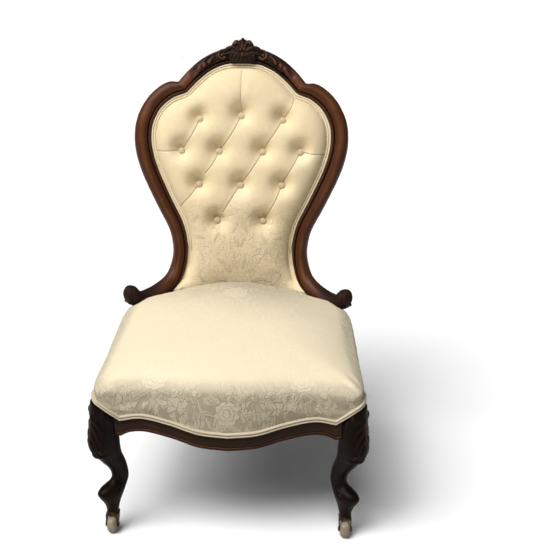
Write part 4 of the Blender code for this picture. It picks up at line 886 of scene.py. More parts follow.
# Crest: the same moulding with a leaf scroll carved along each side of the cartouche.
# Strokes are drawn by distance from the middle and height above the crest's middle line.
crestStrokes = [
    (((0.030, 0.004), (0.040, 0.012), (0.052, 0.011), (0.058, 0.002), (0.053, -0.007), (0.045, -0.006)),
     (0.0028, 0.0038), (0.0030, 0.0052)),
    (((0.0495, 0.0015), (0.0500, 0.0010)), (0.0036, 0.0036), (0.0056, 0.0056)),
    (((0.060, 0.013), (0.078, 0.0115), (0.096, 0.006), (0.112, 0.003)), (0.0024, 0.0036), (0.0018, 0.0034)),
    (((0.068, 0.006), (0.077, 0.003), (0.086, -0.003)), (0.0034, 0.0052), (0.0028, 0.0050)),
    (((0.098, -0.001), (0.102, -0.003)), (0.0056, 0.0050), (0.0054, 0.0048)),
    (((0.060, -0.010), (0.078, -0.0130), (0.096, -0.0130), (0.110, -0.008)), (0.0026, 0.0038), (0.0020, 0.0036)),
    (((0.112, -0.001), (0.124, -0.005), (0.138, -0.0075)), (0.0070, 0.0028), (0.0046, 0.0018)),
    (((0.106, 0.006), (0.120, 0.009), (0.136, 0.008)), (0.0042, 0.0018), (0.0030, 0.0013)),
    (((0.040, -0.016), (0.043, -0.004)), (0.0046, 0.0034), (0.0036, 0.0030)),
    (((0.030, -0.017), (0.031, -0.006)), (0.0046, 0.0034), (0.0036, 0.0030)),
]


def makeCrest():
    places, w = mouldingPlaces(*crestLine)
    run = along(crestLine[0])
    s = np.abs(run - run[-1] / 2)
    across, deep = mouldingRing.T
    front = ramp(deep, *crest["front"]) * ramp(across, *crest["frontEdge"])
    drawing = np.stack(np.broadcast_arrays(s[:, None], w), -1).reshape(-1, 2)
    raised = carved(drawing, crestStrokes).reshape(w.shape) * front
    ground = crest["sink"] * front * ramp(s, *crest["sinkAlong"])[:, None] * ramp(across, *crest["sinkAcross"])
    places = places - outOf(places) * (raised - ground)[..., None]
    # painted shade on the sunk ground between the carvings; the raised carving is warmer, as wear on high places and
    # painted highlight
    tones = frameLightShade * 0.6 - 0.35 * (ground > 0.001) * (raised < 0.0008)
    tones = tones + carvedTone * np.maximum(raised - 0.0022, 0.0) + 0.55 * ramp(s, *crest["endTone"])[:, None]
    piece = skin("crest", places, tones=tones)
    settle(piece, "chair", "walnut", crestWalnut, "crest_rail")


# Cartouche on the crest: shoulder scrolls, leaves, three berries and a fringe of petals.
# Strokes are drawn by distance from the middle and height above the crest's middle line.
cartouche = {
    "half": 0.0535, "low": -0.0205, "high": 0.0362, "pitch": 0.00062, "thick": 0.011, "set": 0.0172,
    "toneFrom": 0.0048, "cut": 0.0007,  # heights where the tone turns, and below which it is cut away
    "strokes": [
        (((0.0, -0.004), (0.0, 0.008), (0.0, 0.0205)), (0.034, 0.0125), (0.0040, 0.0034)),
        (((0.0, 0.010), (0.0, 0.0315)), (0.0085, 0.0038), (0.0062, 0.0046)),
        (((0.0, 0.016), (0.0, 0.0330)), (0.0022, 0.0016), (0.0080, 0.0058)),
        (((0.005, 0.012), (0.010, 0.0225), (0.0160, 0.0250), (0.0215, 0.0190)), (0.0046, 0.0050), (0.0062, 0.0070)),
        (((0.0165, 0.0225), (0.0175, 0.0215)), (0.0052, 0.0052), (0.0088, 0.0088)),
        (((0.010, 0.005), (0.022, 0.0120), (0.033, 0.0110), (0.046, 0.0020)), (0.0066, 0.0030), (0.0062, 0.0034)),
        (((0.012, 0.006), (0.023, 0.0115), (0.033, 0.0105), (0.045, 0.0025)), (0.0016, 0.0012), (0.0078, 0.0044)),
        (((0.012, -0.003), (0.028, 0.0005), (0.040, -0.0020), (0.049, -0.0035)), (0.0050, 0.0030), (0.0054, 0.0030)),
        (((0.0042, 0.0075), (0.0044, 0.0070)), (0.0037, 0.0037), (0.0088, 0.0088)),
        (((0.0, -0.0035), (0.0, -0.0045)), (0.0037, 0.0037), (0.0090, 0.0090)),
        (((0.0, -0.009), (0.0, -0.0160)), (0.0040, 0.0034), (0.0062, 0.0044)),
        (((0.0085, -0.007), (0.0105, -0.0160)), (0.0042, 0.0034), (0.0062, 0.0044)),
        (((0.0175, -0.006), (0.0205, -0.0145)), (0.0042, 0.0032), (0.0058, 0.0040)),
        (((0.0265, -0.006), (0.0305, -0.0130)), (0.0042, 0.0030), (0.0052, 0.0034)),
    ],
}


def makeCartouche():
    columns = int(round(2 * cartouche["half"] / cartouche["pitch"])) + 1
    rows = int(round((cartouche["high"] - cartouche["low"]) / cartouche["pitch"])) + 1
    x, up = np.meshgrid(np.linspace(-cartouche["half"], cartouche["half"], columns),
                        np.linspace(cartouche["low"], cartouche["high"], rows), indexing="ij")
    raised = carved(np.stack((np.abs(x), up), -1).reshape(-1, 2), cartouche["strokes"]).reshape(x.shape)
    places = backPoint(x, crest["middle"] + up, -cartouche["set"] - raised)
    # tone falls in the hollows of the carving as painted shade and rises on its tops as wear and painted highlight
    piece = skin("crest_cartouche", places, closed=False, tones=carvedTone * (raised - cartouche["toneFrom"]))
    tone = np.empty(len(piece.data.vertices))
    piece.data.attributes["tone"].data.foreach_get("value", tone)
    editAll(piece)
    bpy.ops.mesh.select_all(action="DESELECT")
    bpy.ops.object.mode_set(mode="OBJECT")
    piece.data.vertices.foreach_set("select", tone < carvedTone * (cartouche["cut"] - cartouche["toneFrom"]))
    bpy.ops.object.mode_set(mode="EDIT")
    bpy.ops.mesh.delete(type="VERT")
    bpy.ops.mesh.select_all(action="SELECT")
    bpy.ops.mesh.region_to_loop()
    bpy.ops.mesh.select_mode(type="VERT")
    for _ in range(4):
        bpy.ops.mesh.vertices_smooth(factor=0.5)
    bpy.ops.object.mode_set(mode="OBJECT")
    applyModifier(piece, "SOLIDIFY", thickness=cartouche["thick"], offset=-1.0)
    shade(piece, 55)
    settle(piece, "chair", "walnut", crestWalnut, "crest_carving")


for word, side in hands:
    makeStile(word, side)
makeCrest()
makeCartouche()
print("back frame carved")

# Seat frame and legs

# Half plan of the seat's edge from the middle of the front to the middle of the back: shares of
# the half width and the depth, then the hem and the edge of the top above the rails
seat = {
    "halfWidth": 0.2905, "depth": 0.484, "front": -0.33301, "railTop": 0.325, "middle": 0.55,
    "edge": (
        (0.000, 0.000, -0.0615, 0.041), (0.207, 0.008, -0.0565, 0.040), (0.413, 0.031, -0.0415, 0.037),
        (0.620, 0.049, -0.0315, 0.033), (0.781, 0.053, -0.0385, 0.029), (0.880, 0.055, -0.0185, 0.026),
        (0.960, 0.078, -0.0040, 0.025), (0.986, 0.157, -0.0040, 0.025), (0.980, 0.281, -0.0190, 0.027),
        (0.957, 0.467, -0.0290, 0.032), (0.924, 0.665, -0.0310, 0.042), (0.892, 0.845, -0.0250, 0.056),
        (0.795, 0.918, -0.0230, 0.066), (0.610, 0.958, 0.0062, 0.078), (0.410, 0.985, 0.0062, 0.086),
        (0.207, 0.998, 0.0062, 0.088), (0.000, 1.000, 0.0062, 0.088),
    ),
    "steps": 14, "cuspRow": 4, "cornerRow": 6, "pipedRows": 11, "cordRows": 11.9,
}


def seatEdge():  # x, y, hem and edge heights, right half
    start = np.array((0.0, seat["front"], seat["railTop"], seat["railTop"]))
    rows = start + np.array(seat["edge"]) * (seat["halfWidth"], seat["depth"], 1.0, 1.0)
    cusp = seat["cuspRow"]
    half = np.vstack((curve(rows[:cusp + 1], seat["steps"])[:-1], curve(rows[cusp:], seat["steps"])))
    half[0, 0] = half[-1, 0] = 0.0
    return half


def wholeEdge(half):
    other = half[-2:0:-1] * (-1.0, 1.0, 1.0, 1.0)
    return np.vstack((half, other))


def planOut(loop):  # outward directions in plan round a closed loop
    run = unit(np.roll(loop, -1, axis=0)[:, :2] - np.roll(loop, 1, axis=0)[:, :2])
    return np.stack((run[:, 1], -run[:, 0]), -1)


seatHalf = seatEdge()
seatLoop = wholeEdge(seatHalf)
seatOut = planOut(seatLoop)
seatMiddle = np.array((0.0, seat["front"] + seat["depth"] * seat["middle"]))

rail = {
    "set": 0.004, "thick": 0.034, "lip": 0.022, "show": 0.0340, "bead": 0.0031, "ledge": 0.266, "under": 0.260,
    "rebate": 0.011, "cord": 0.0055, "reach": 0.2390, "swell": 0.0012,
    "bracket": 0.009, "bracketFrom": (0.203, 0.036),  # the lower edge turns down into the legs
    "frontSteps": 121, "sideSteps": 71, "sideRun": (-0.2581, 0.1245),
    "toe": 0.012, "quirk": 0.0026, "edge": 0.0016, "face": 0.0008,  # behind the face
    "quirkUp": 2.25, "faceUp": 2.6,  # above the lower edge, in beads
    "gap": 0.0003, "round": 0.0012,  # below the cord
}


def railSection(hem, drop=0.0):  # distance behind the hem's face, height and tone: painted shade in the quirk, under the cord and on hidden faces, painted highlight on the bead's top and the face's swell
    top = hem - rail["cord"] - rail["gap"]
    low = min(hem - rail["cord"] - rail["show"], rail["under"]) - drop
    face, bead = rail["set"], rail["bead"]
    lip, rear, start = face + rail["lip"], face + rail["thick"], low + rail["faceUp"] * bead
    rows = [(lip, low, -0.6), (face + rail["toe"], low, -0.4)]
    for angle in np.linspace(-90, 110, 11):
        a = math.radians(angle)
        # painted highlight along the top of the bead, with the rest of the bead in painted shade
        rubbedAndLit = 1.15 * math.exp(-((angle - 72) / 26) ** 2) - 0.35
        rows.append((face + bead - bead * math.cos(a), low + bead + bead * math.sin(a), rubbedAndLit))
    rows += [(face + rail["quirk"], low + rail["quirkUp"] * bead, -0.8), (face + rail["edge"], start, -0.2)]
    for share in np.linspace(0.06, 1.0, 9):
        belly = math.sin(share * math.pi)
        z = start + share * (top - rail["round"] - start)
        rows.append((face + rail["face"] - rail["swell"] * belly, z, 0.30 * belly - 0.1))
    rows += [(face + rail["edge"], top, -0.4), (rail["rebate"], top, -0.6), (rail["rebate"], seat["railTop"], -0.6),
             (rear, seat["railTop"], -0.6), (rear, rail["ledge"], -0.6), (lip, rail["ledge"], -0.6), (lip, low, -0.6)]
    return np.array(rows)


def makeRails():
    front = seatHalf[:seat["cornerRow"] * seat["steps"] + 1]
    x = np.linspace(-rail["reach"], rail["reach"], rail["frontSteps"])
    y, hem = (np.interp(np.abs(x), front[:, 0], front[:, column]) for column in (1, 2))
    drops = rail["bracket"] * ramp(np.abs(x), *rail["bracketFrom"]) ** 1.5
    behind, z, tones = np.moveaxis(np.array([railSection(h, drop) for h, drop in zip(hem, drops)]), -1, 0)
    piece = skin("front_rail", np.stack(np.broadcast_arrays(x[:, None], y[:, None] + behind, z), -1), tones=tones)
    settle(piece, "chair", "walnut", railWalnut, "front_seat_rail")
    flank = seatHalf[(seat["cornerRow"] + 1) * seat["steps"]:seat["pipedRows"] * seat["steps"] + 1]
    y = np.linspace(*rail["sideRun"], rail["sideSteps"])
    x, hem = (np.interp(y, flank[:, 1], flank[:, column]) for column in (0, 2))
    slope = (flank[-1, 0] - flank[-2, 0]) / (flank[-1, 1] - flank[-2, 1])
    x = x + slope * np.maximum(0.0, y - flank[-1, 1])
    behind, z, tones = np.moveaxis(np.array([railSection(h) for h in hem]), -1, 0)
    places = np.stack(np.broadcast_arrays(x[:, None] - behind, y[:, None], z), -1)
    for word, side in hands:
        piece = skin(f"side_rail_{word}", sided(places, side), tones=tones)
        settle(piece, "chair", "walnut", railWalnut, f"side_seat_rail_{word}")


# Cabriole front legs, bowed along the diagonal of the seat's corner
cabriole = {
    "x": 0.2545, "y": -0.27501, "low": 0.0466, "high": 0.300, "columns": 97, "steps": 7,
    "seam": 135, "corner": 315,  # degrees in plan of the hidden seam and the outer corner
    # share of the height, shift out along the corner's diagonal, half size along it and across it
    "rows": (
        (0.000, 0.0000, 0.0125, 0.0125), (0.050, 0.0000, 0.0152, 0.0144), (0.100, 0.0009, 0.0205, 0.0164),
        (0.150, 0.0022, 0.0279, 0.0197), (0.195, 0.0017, 0.0334, 0.0207), (0.235, -0.0054, 0.0326, 0.0180),
        (0.265, -0.0158, 0.0259, 0.0150), (0.285, -0.0203, 0.0226, 0.0144), (0.310, -0.0228, 0.0203, 0.0146),
        (0.360, -0.0215, 0.0198, 0.0160), (0.420, -0.0156, 0.0220, 0.0178), (0.480, -0.0065, 0.0260, 0.0198),
        (0.540, 0.0030, 0.0290, 0.0220), (0.580, 0.0090, 0.0322, 0.0245), (0.620, 0.0127, 0.0342, 0.0265),
        (0.680, 0.0158, 0.0356, 0.0288), (0.760, 0.0165, 0.0345, 0.0300), (0.860, 0.0150, 0.0320, 0.0300),
    ),
    "rim": (0.0115, 0.0290), "rimDrop": 0.0075, "rimSteps": 15, "swell": 0.035, "block": 0.0165, "blockSquare": 6.0,
    "sink": 0.0018, "sinkRound": (0.034, -0.006), "sinkLow": (0.194, 0.004), "sinkHigh": (0.290, -0.01),
    "wrap": 0.036,  # metres of drawing for each radian round the leg
    # carving, by distance round the leg from its outer corner and height
    "strokes": [
        (((0.0, 0.284), (0.0, 0.240), (0.0, 0.199)), (0.0062, 0.0030), (0.0034, 0.0030)),
        (((0.004, 0.279), (0.019, 0.270), (0.030, 0.253)), (0.0056, 0.0036), (0.0030, 0.0022)),
        (((0.004, 0.263), (0.018, 0.250), (0.027, 0.230)), (0.0056, 0.0036), (0.0032, 0.0022)),
        (((0.004, 0.245), (0.015, 0.230), (0.022, 0.210)), (0.0050, 0.0032), (0.0030, 0.0022)),
        (((0.003, 0.227), (0.010, 0.213), (0.014, 0.198)), (0.0045, 0.0030), (0.0028, 0.0020)),
        (((0.030, 0.297), (0.034, 0.292)), (0.0070, 0.0056), (0.0030, 0.0026)),
        (((0.045, 0.284), (0.048, 0.277)), (0.0060, 0.0046), (0.0034, 0.0026)),
        (((0.027, 0.2085), (0.030, 0.206)), (0.0056, 0.0050), (0.0044, 0.0040)),
        (((0.000, 0.1915), (0.020, 0.1925), (0.040, 0.1960)), (0.0040, 0.0034), (0.0030, 0.0020)),
        (((0.048, 0.106), (0.056, 0.110), (0.064, 0.104), (0.064, 0.094), (0.055, 0.089)),
         (0.0022, 0.0026), (0.0016, 0.0018)),
        (((0.0565, 0.100), (0.0567, 0.099)), (0.0042, 0.0042), (0.0022, 0.0022)),
    ],
}


def roundSquare(x, y, half, angle, square):  # a ring between a circle and a square
    c, s = np.cos(angle), np.sin(angle)
    power = 2.0 / square
    half = np.asarray(half)[..., None]
    px = np.asarray(x)[..., None] + half * np.sign(c) * np.abs(c) ** power
    py = np.asarray(y)[..., None] + half * np.sign(s) * np.abs(s) ** power
    return px, py


def cornerRing(shift, half, wide, angle):  # longer along the corner's diagonal than across it
    turned = angle + math.pi / 4
    far, aside = shift + half * np.cos(turned), wide * np.sin(turned)
    return cabriole["x"] + (far + aside) / math.sqrt(2), cabriole["y"] + (aside - far) / math.sqrt(2)


def hemNear(x, y):
    gap = (seatHalf[:, 0] - np.abs(x)[..., None]) ** 2 + (seatHalf[:, 1] - y[..., None]) ** 2
    return seatHalf[np.argmin(gap, axis=-1), 2]


def frontLegPlaces():  # the right leg
    angle = math.radians(cabriole["seam"]) + np.linspace(0.0, 2 * math.pi, cabriole["columns"])
    rows = curve(cabriole["rows"], cabriole["steps"])
    z = cabriole["low"] + rows[:, 0] * (cabriole["high"] - cabriole["low"])
    px, py = cornerRing(rows[:, 1:2], rows[:, 2:3], rows[:, 3:4], angle)
    pz = np.broadcast_to(z[:, None], px.shape)
    shift, half = cabriole["rim"]
    rx, ry = cornerRing(shift, half, half, angle)
    rim = hemNear(rx, ry) - cabriole["rimDrop"]
    bx, by = roundSquare(cabriole["x"], cabriole["y"], cabriole["block"], angle, cabriole["blockSquare"])
    rings = [np.stack((px, py, pz), -1)]
    last = rings[0][-1]
    for share in np.linspace(0.0, 1.0, cabriole["rimSteps"])[1:]:
        ring = last * (1.0 - share) + np.stack((rx, ry, rim), -1) * share
        ring[:, :2] += cabriole["swell"] * math.sin(share * math.pi) * (ring[:, :2] - ring[:, :2].mean(axis=0))
        rings.append(ring[None])
    for height in (rim, np.full_like(rim, seat["railTop"])):
        rings.append(np.stack((bx, by, height), -1)[None])
    places = np.vstack(rings)
    aside = np.abs((angle - math.radians(cabriole["corner"])) * cabriole["wrap"])
    drawing = np.stack(np.broadcast_arrays(aside[None], places[..., 2]), -1).reshape(-1, 2)
    raised = carved(drawing, cabriole["strokes"]).reshape(places.shape[:2])
    raised[-2:] = 0.0
    field = ramp(aside, *cabriole["sinkRound"])[None] * ramp(places[..., 2], *cabriole["sinkLow"])
    field = field * ramp(places[..., 2], *cabriole["sinkHigh"])
    places = places + outOf(places) * (raised - cabriole["sink"] * field)[..., None]
    # painted shade on the sunk field round the carving; the raised carving is warmer, as wear and painted highlight
    tones = 230.0 * np.maximum(raised - 0.0016, 0.0) - 0.5 * field * (raised < 0.0008) + 0.10
    return places, tones


# Rear legs: they drop from under the stiles, then sweep back to their casters
rearLeg = {
    "x": 0.2235, "y": 0.13876, "knee": 0.257, "shoulder": 0.372, "top": 0.3950, "toeIn": 0.017, "rake": 0.140,
    "footHalf": 0.0125, "topHalf": 0.020, "topShare": 0.75, "ankle": 0.026, "square": 3.2, "columns": 61, "steps": 10,
    # shares of the fall from the knee, of the way back to the knee's place and of its thickness
    "sweep": ((1.0, 0.0, 0.0), (0.78, 0.3, 0.25), (0.5, 0.72, 0.6), (0.22, 0.97, 0.93), (0.0, 1.0, 1.0)),
}


def rearLegPlaces():  # the right leg
    x, y, thin, thick = rearLeg["x"], rearLeg["y"], rearLeg["footHalf"], rearLeg["topHalf"]
    low, ankle = cabriole["low"], rearLeg["ankle"]
    drop = rearLeg["knee"] - low - ankle
    rows = [(0.0, 0.0, low), (0.0, 0.0, low + ankle * 0.5)]
    for fall, near, full in curve(rearLeg["sweep"], rearLeg["steps"]):
        rows.append((near, full, rearLeg["knee"] - fall * drop))
    rows = [(x - (1.0 - near) * rearLeg["toeIn"], y + (1.0 - near) * rearLeg["rake"], thin + full * (thick - thin), z)
            for near, full, z in rows]
    rows += [(x, y, thick, rearLeg["shoulder"]), (x, y, thick * rearLeg["topShare"], rearLeg["top"])]
    rows = np.array(rows)
    around = np.linspace(0.0, 2 * math.pi, rearLeg["columns"])
    px, py = roundSquare(rows[:, 0], rows[:, 1], rows[:, 2], around + math.radians(90), rearLeg["square"])
    places = np.stack((px, py, np.broadcast_to(rows[:, 3:4], px.shape)), -1)
    return places, np.broadcast_to(np.abs(np.sin(2.0 * around)) * 0.35 - 0.1, px.shape)


def makeLegs():
    for end, (places, tones) in (("front", frontLegPlaces()), ("rear", rearLegPlaces())):
        for word, side in hands:
            piece = skin(f"{end}_leg_{word}_wood", sided(places, side), tones=tones)
            settle(piece, "chair", "walnut", legWalnut, f"{end}_leg_{word}")


makeRails()
makeLegs()
print("seat frame and legs shaped")

# Casters: cream porcelain wheels in aged brass

caster = {
    "wheel": 0.0187, "wide": 0.021, "bore": 0.0036, "sides": 64, "trail": 0.012, "axle": 0.01871, "round": 0.0006,
    "front": (0.2545, -0.27501), "rear": (0.2065, 0.27876),
    # one side of the wheel from hub to rim: distance in from its face, and radius
    "profile": ((0.0, 0.0062), (0.0, 0.0080), (0.0010, 0.0092), (0.0004, 0.0108), (0.0006, 0.0135), (0.0022, 0.0160),
                (0.0050, 0.0179), (0.0078, 0.0186)),
}
# Beech frame under the cover
hidden = {"round": 0.0015, "nodes": ["rear_seat_rail", "lower_back_rail"]}
hidden["nodes"] += [f"corner_block_{end}_{word}" for end in ("front", "rear") for word, side in hands]


def wheelPlaces(x, y):
    half, bore = caster["wide"] / 2, caster["bore"]
    side = [(inset - half, radius) for inset, radius in caster["profile"]]
    profile = curve(side + [(0.0, caster["wheel"])] + [(-h, r) for h, r in side[::-1]], 4)
    profile = np.vstack(((-half, bore), profile, (half, bore), (-half, bore)))
    angle = np.linspace(0.0, 2 * math.pi, caster["sides"] + 1)[:, None]
    h, r = profile[:, 0], profile[:, 1]
    rows = x + h, y - caster["trail"] + r * np.cos(angle), caster["axle"] + r * np.sin(angle)
    return np.stack(np.broadcast_arrays(*rows), -1)


def copyNode(node, name, bevel):  # a merged copy of a solid with softened edges
    pickNothing()
    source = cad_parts[node]
    piece = bpy.data.objects.new(name, source.data.copy())
    bpy.context.scene.collection.objects.link(piece)
    piece.matrix_world = source.matrix_world
    editAll(piece)
    bpy.ops.mesh.remove_doubles(threshold=1e-5)
    bpy.ops.mesh.dissolve_limited(angle_limit=math.radians(2.0))
    bpy.ops.object.mode_set(mode="OBJECT")
    pick(piece)
    bpy.ops.object.transform_apply(location=True, rotation=True, scale=True)
    applyModifier(piece, "BEVEL", width=bevel, segments=3, limit_method="ANGLE", angle_limit=math.radians(35))
    shade(piece, 40)
    return piece


def makeCasters():
    for end in ("front", "rear"):
        for word, side in hands:
            name = f"caster_{end}_{word}"
            x, y = caster[end]
            wheel = skin(f"{name}_porcelain", wheelPlaces(side * x, y), capped=False)
            settle(wheel, f"{name}_roller", "porcelain", porcelain, f"{name}_wheel")
            for part, body in (("fork", f"{name}_swivel"), ("axle", f"{name}_swivel"), ("plate", "chair")):
                piece = copyNode(f"{name}_{part}", f"{name}_{part}_brass", caster["round"])
                settle(piece, body, "brass", brass, f"{name}_{part}")


makeCasters()
for node in hidden["nodes"]:
    piece = copyNode(node, f"{node}_beech", hidden["round"])
    settle(piece, "chair", "beech", beech, node)
for number in range(1, 6):
    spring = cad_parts[f"seat_spring_{number}"].data
    spring.materials.clear()
    spring.materials.append(steel)
print("casters and hidden frame finished")

# Upholstery

clothKind = {"mass": 0.35, "shear": 0.6}


def simulate(piece, held, settings):  # swell a cover under pressure, then keep it near its start
    start = getPoints(piece).copy()
    group = piece.vertex_groups.new(name="held")
    group.add([int(i) for i in np.flatnonzero(held)], 1.0, "REPLACE")
    modifier = piece.modifiers.new("cloth", "CLOTH")
    cloth = modifier.settings
    cloth.quality = settings["quality"]
    cloth.mass = clothKind["mass"]
    cloth.tension_stiffness = cloth.compression_stiffness = settings["stiff"]
    cloth.shear_stiffness = settings["stiff"] * clothKind["shear"]
    cloth.bending_stiffness = settings["bend"]
    cloth.use_pressure = True
    cloth.uniform_pressure_force = settings["pressure"]
    cloth.vertex_group_mass = group.name
    cloth.effector_weights.gravity = 0.0
    modifier.collision_settings.use_collision = False
    modifier.point_cache.frame_start = 1
    modifier.point_cache.frame_end = settings["frames"]
    scene = bpy.context.scene
    for number in range(1, settings["frames"] + 1):
        scene.frame_set(number)
    pick(piece)
    bpy.ops.object.modifier_apply(modifier=modifier.name)
    scene.frame_set(1)
    moved = getPoints(piece) - start
    far = np.linalg.norm(moved, axis=1, keepdims=True)
    cap = settings["cap"]
    setPoints(piece, start + moved * np.tanh(far / cap) * cap / np.maximum(far, 1e-9))
    piece.vertex_groups.clear()
    print(f"{piece.name} swelled by up to {far.max() * 1000:.1f} mm, kept within {cap * 1000:.0f} mm")


# Seat: stuffed over the springs, straight front and sides, a firm roll and a low crown
seatCover = {
    "columns": 3, "cord": 0.0055, "skirt": 0.010, "ledge": 0.328, "ledgeShare": 0.94,
    "hollow": 0.347, "hollowShare": 0.80, "hollowBox": (0.19, 0.16), "hollowY": -0.09,
    # share of the way from hem to edge, then how far in and up from there
    "roll": ((0.10, 0.0006, 0.0), (0.35, -0.0008, 0.0), (0.60, -0.0016, 0.0), (0.80, -0.0020, 0.0),
             (0.93, -0.0010, 0.0), (1.0, 0.0026, 0.0012), (1.0, 0.0080, 0.0046), (1.0, 0.0170, 0.0088)),
    # what the front overhangs, then gives
    "lean": (0.0, 0.0012, 0.0022, 0.0018, -0.0006, -0.0040, -0.0080, -0.0110), "leanFacing": (0.45, 0.4),
    "rings": (0.96, 0.92, 0.88, 0.82, 0.75, 0.66, 0.56, 0.46, 0.36, 0.27, 0.18, 0.09),
    # top of the seat by share of the depth: height in the middle, height and half width at the sides
    "top": ((0.00, 0.3790, 0.3600, 0.261), (0.08, 0.3900, 0.3590, 0.279), (0.157, 0.3985, 0.3590, 0.2865),
            (0.281, 0.4090, 0.3610, 0.2847), (0.467, 0.4205, 0.3660, 0.278), (0.665, 0.4285, 0.3760, 0.268),
            (0.845, 0.4290, 0.3900, 0.262), (1.00, 0.4290, 0.4120, 0.256)),
    # the springs lift the middle of the rear: the top, then its rear edge
    "dome": 0.0260, "domeWidth": 0.110, "domeFrom": (0.40, 0.45), "lift": 0.012, "liftFrom": (0.80, 0.15),
    # how far the rear corners swell, where along the depth and the width, and how that grows up the side
    "bulge": 0.0112, "bulgeAt": 0.74, "bulgeRun": 0.28, "bulgeSide": (0.19, 0.03),
    "bulgeUp": (0.0, 0.25, 0.55, 0.80, 0.95, 1.0, 1.0, 1.0),
    "soften": 40, "softenFrom": (0.010, 0.045),
    "blend": 3.0, "rimBlend": 14.0, "even": 120, "voxel": 0.0044,
    "cloth": {"quality": 5, "stiff": 14.0, "bend": 1.2, "pressure": 4.0, "frames": 20, "cap": 0.003},
    "frameRoom": 0.0200,  # what the stiles keep free of the cover
    # how far a face looks up and lies in from the rim: there the cover is faded and lit, elsewhere its ground is
    # painted shade
    "wornAndLitFace": (0.15, 0.6), "wornAndLitRim": (0.0, 0.035), "sideReach": 0.03,
    "kept": {"at": (0.015, 0.10), "radii": (0.15, 0.13), "share": 0.85},  # where the top keeps a darker ground and fresher figures
}


def seatHump(x):
    return np.exp(-(x / seatCover["domeWidth"]) ** 2)


def seatTop(x, y):
    table = np.array(seatCover["top"])
    depth = (y - seat["front"]) / seat["depth"]
    middle, side, half = (np.interp(depth, table[:, 0], table[:, column]) for column in (1, 2, 3))
    dome = seatCover["dome"] * seatHump(x) * ramp(depth, *seatCover["domeFrom"])
    return side + (middle - side) * np.maximum(0.0, 1.0 - np.minimum(1.0, np.abs(x) / half) ** 3) ** 0.85 + dome


def seatPlaces():
    loop, out = seatLoop[::seatCover["columns"]], seatOut[::seatCover["columns"]]
    loop, out = np.vstack((loop, loop[:1])), np.vstack((out, out[:1]))
    hem, depth = loop[:, 2], (loop[:, 1] - seat["front"]) / seat["depth"]
    edge = loop[:, 3] + seatCover["lift"] * seatHump(loop[:, 0]) * ramp(depth, *seatCover["liftFrom"])
    bulge = np.exp(-((depth - seatCover["bulgeAt"]) / seatCover["bulgeRun"]) ** 2)
    bulge = (seatCover["bulge"] * (bulge * ramp(np.abs(loop[:, 0]), *seatCover["bulgeSide"])))[:, None]

    def ring(inset, height):
        return np.column_stack((loop[:, :2] - out * inset, np.broadcast_to(height, hem.shape)))

    def shrink(base, share, rise):
        rim = base.copy()
        rim[:, :2] = seatMiddle + (base[:, :2] - seatMiddle) * share
        rim[:, 2] += rise
        return rim

    ledge = ring(seatCover["skirt"] * 2, seatCover["ledge"])
    rise = seatCover["hollow"] - seatCover["ledge"]
    rings = [shrink(ledge, 0.0, rise), shrink(ledge, seatCover["hollowShare"], rise),
             shrink(ledge, seatCover["ledgeShare"], 0.0), ring(seatCover["skirt"], seatCover["ledge"]),
             ring(seatCover["skirt"], hem - seatCover["cord"]), ring(0.0, hem - seatCover["cord"])]
    facing = ramp(-out[:, 1:2], *seatCover["leanFacing"])
    for (share, inward, up), lean, full in zip(seatCover["roll"], seatCover["lean"], seatCover["bulgeUp"]):
        rings.append(ring(inward - lean * facing - full * bulge, hem + share * (edge - hem) + up))
    rim = rings[-1]
    above = rim[:, 2] - seatTop(rim[:, 0], rim[:, 1])
    evened = above[:-1]
    for _ in range(seatCover["even"]):
        evened = (np.roll(evened, 1) + evened + np.roll(evened, -1)) / 3.0
    evened = np.append(evened, evened[0])
    for share in seatCover["rings"] + (0.0,):
        level = shrink(rim, share, 0.0)
        level[:, 2] = seatTop(level[:, 0], level[:, 1]) + evened * share ** seatCover["blend"]
        level[:, 2] += (above - evened) * share ** seatCover["rimBlend"]
        rings.append(level)
    return np.array(rings)


def clearOfStiles(points, room):  # the cover gives way under the stiles that rest on it
    for side in (-1, 1):
        centre = sided(stileLine[0][-stile["lowStations"]:], side)
        gap = np.linalg.norm(points[:, None] - centre[None], axis=2)
        nearest = gap.argmin(axis=1)
        off = points - centre[nearest]
        least = gap.min(axis=1)
        push = np.maximum(0.0, room - least)
        points = points + off / np.maximum(least, 1e-6)[:, None] * push[:, None]
    return points


def nearEdge(points):  # nearest place of the seat's edge in plan, and how far it is
    gap = (seatLoop[:, 0] - points[:, 0:1]) ** 2 + (seatLoop[:, 1] - points[:, 1:2]) ** 2
    return gap.argmin(axis=1), np.sqrt(gap.min(axis=1))


def softenTop(piece):  # no ridges on the top, and the roll at its rim stays
    reach = nearEdge(getPoints(piece))[1]
    weight = np.round(10.0 * ramp(reach, *seatCover["softenFrom"]) * (getNormals(piece)[:, 2] > 0.2))
    group = piece.vertex_groups.new(name="top")
    for level in range(1, 11):
        group.add([int(i) for i in np.flatnonzero(weight == level)], level / 10.0, "REPLACE")
    applyModifier(piece, "SMOOTH", factor=0.5, iterations=seatCover["soften"], vertex_group="top")
    piece.vertex_groups.clear()


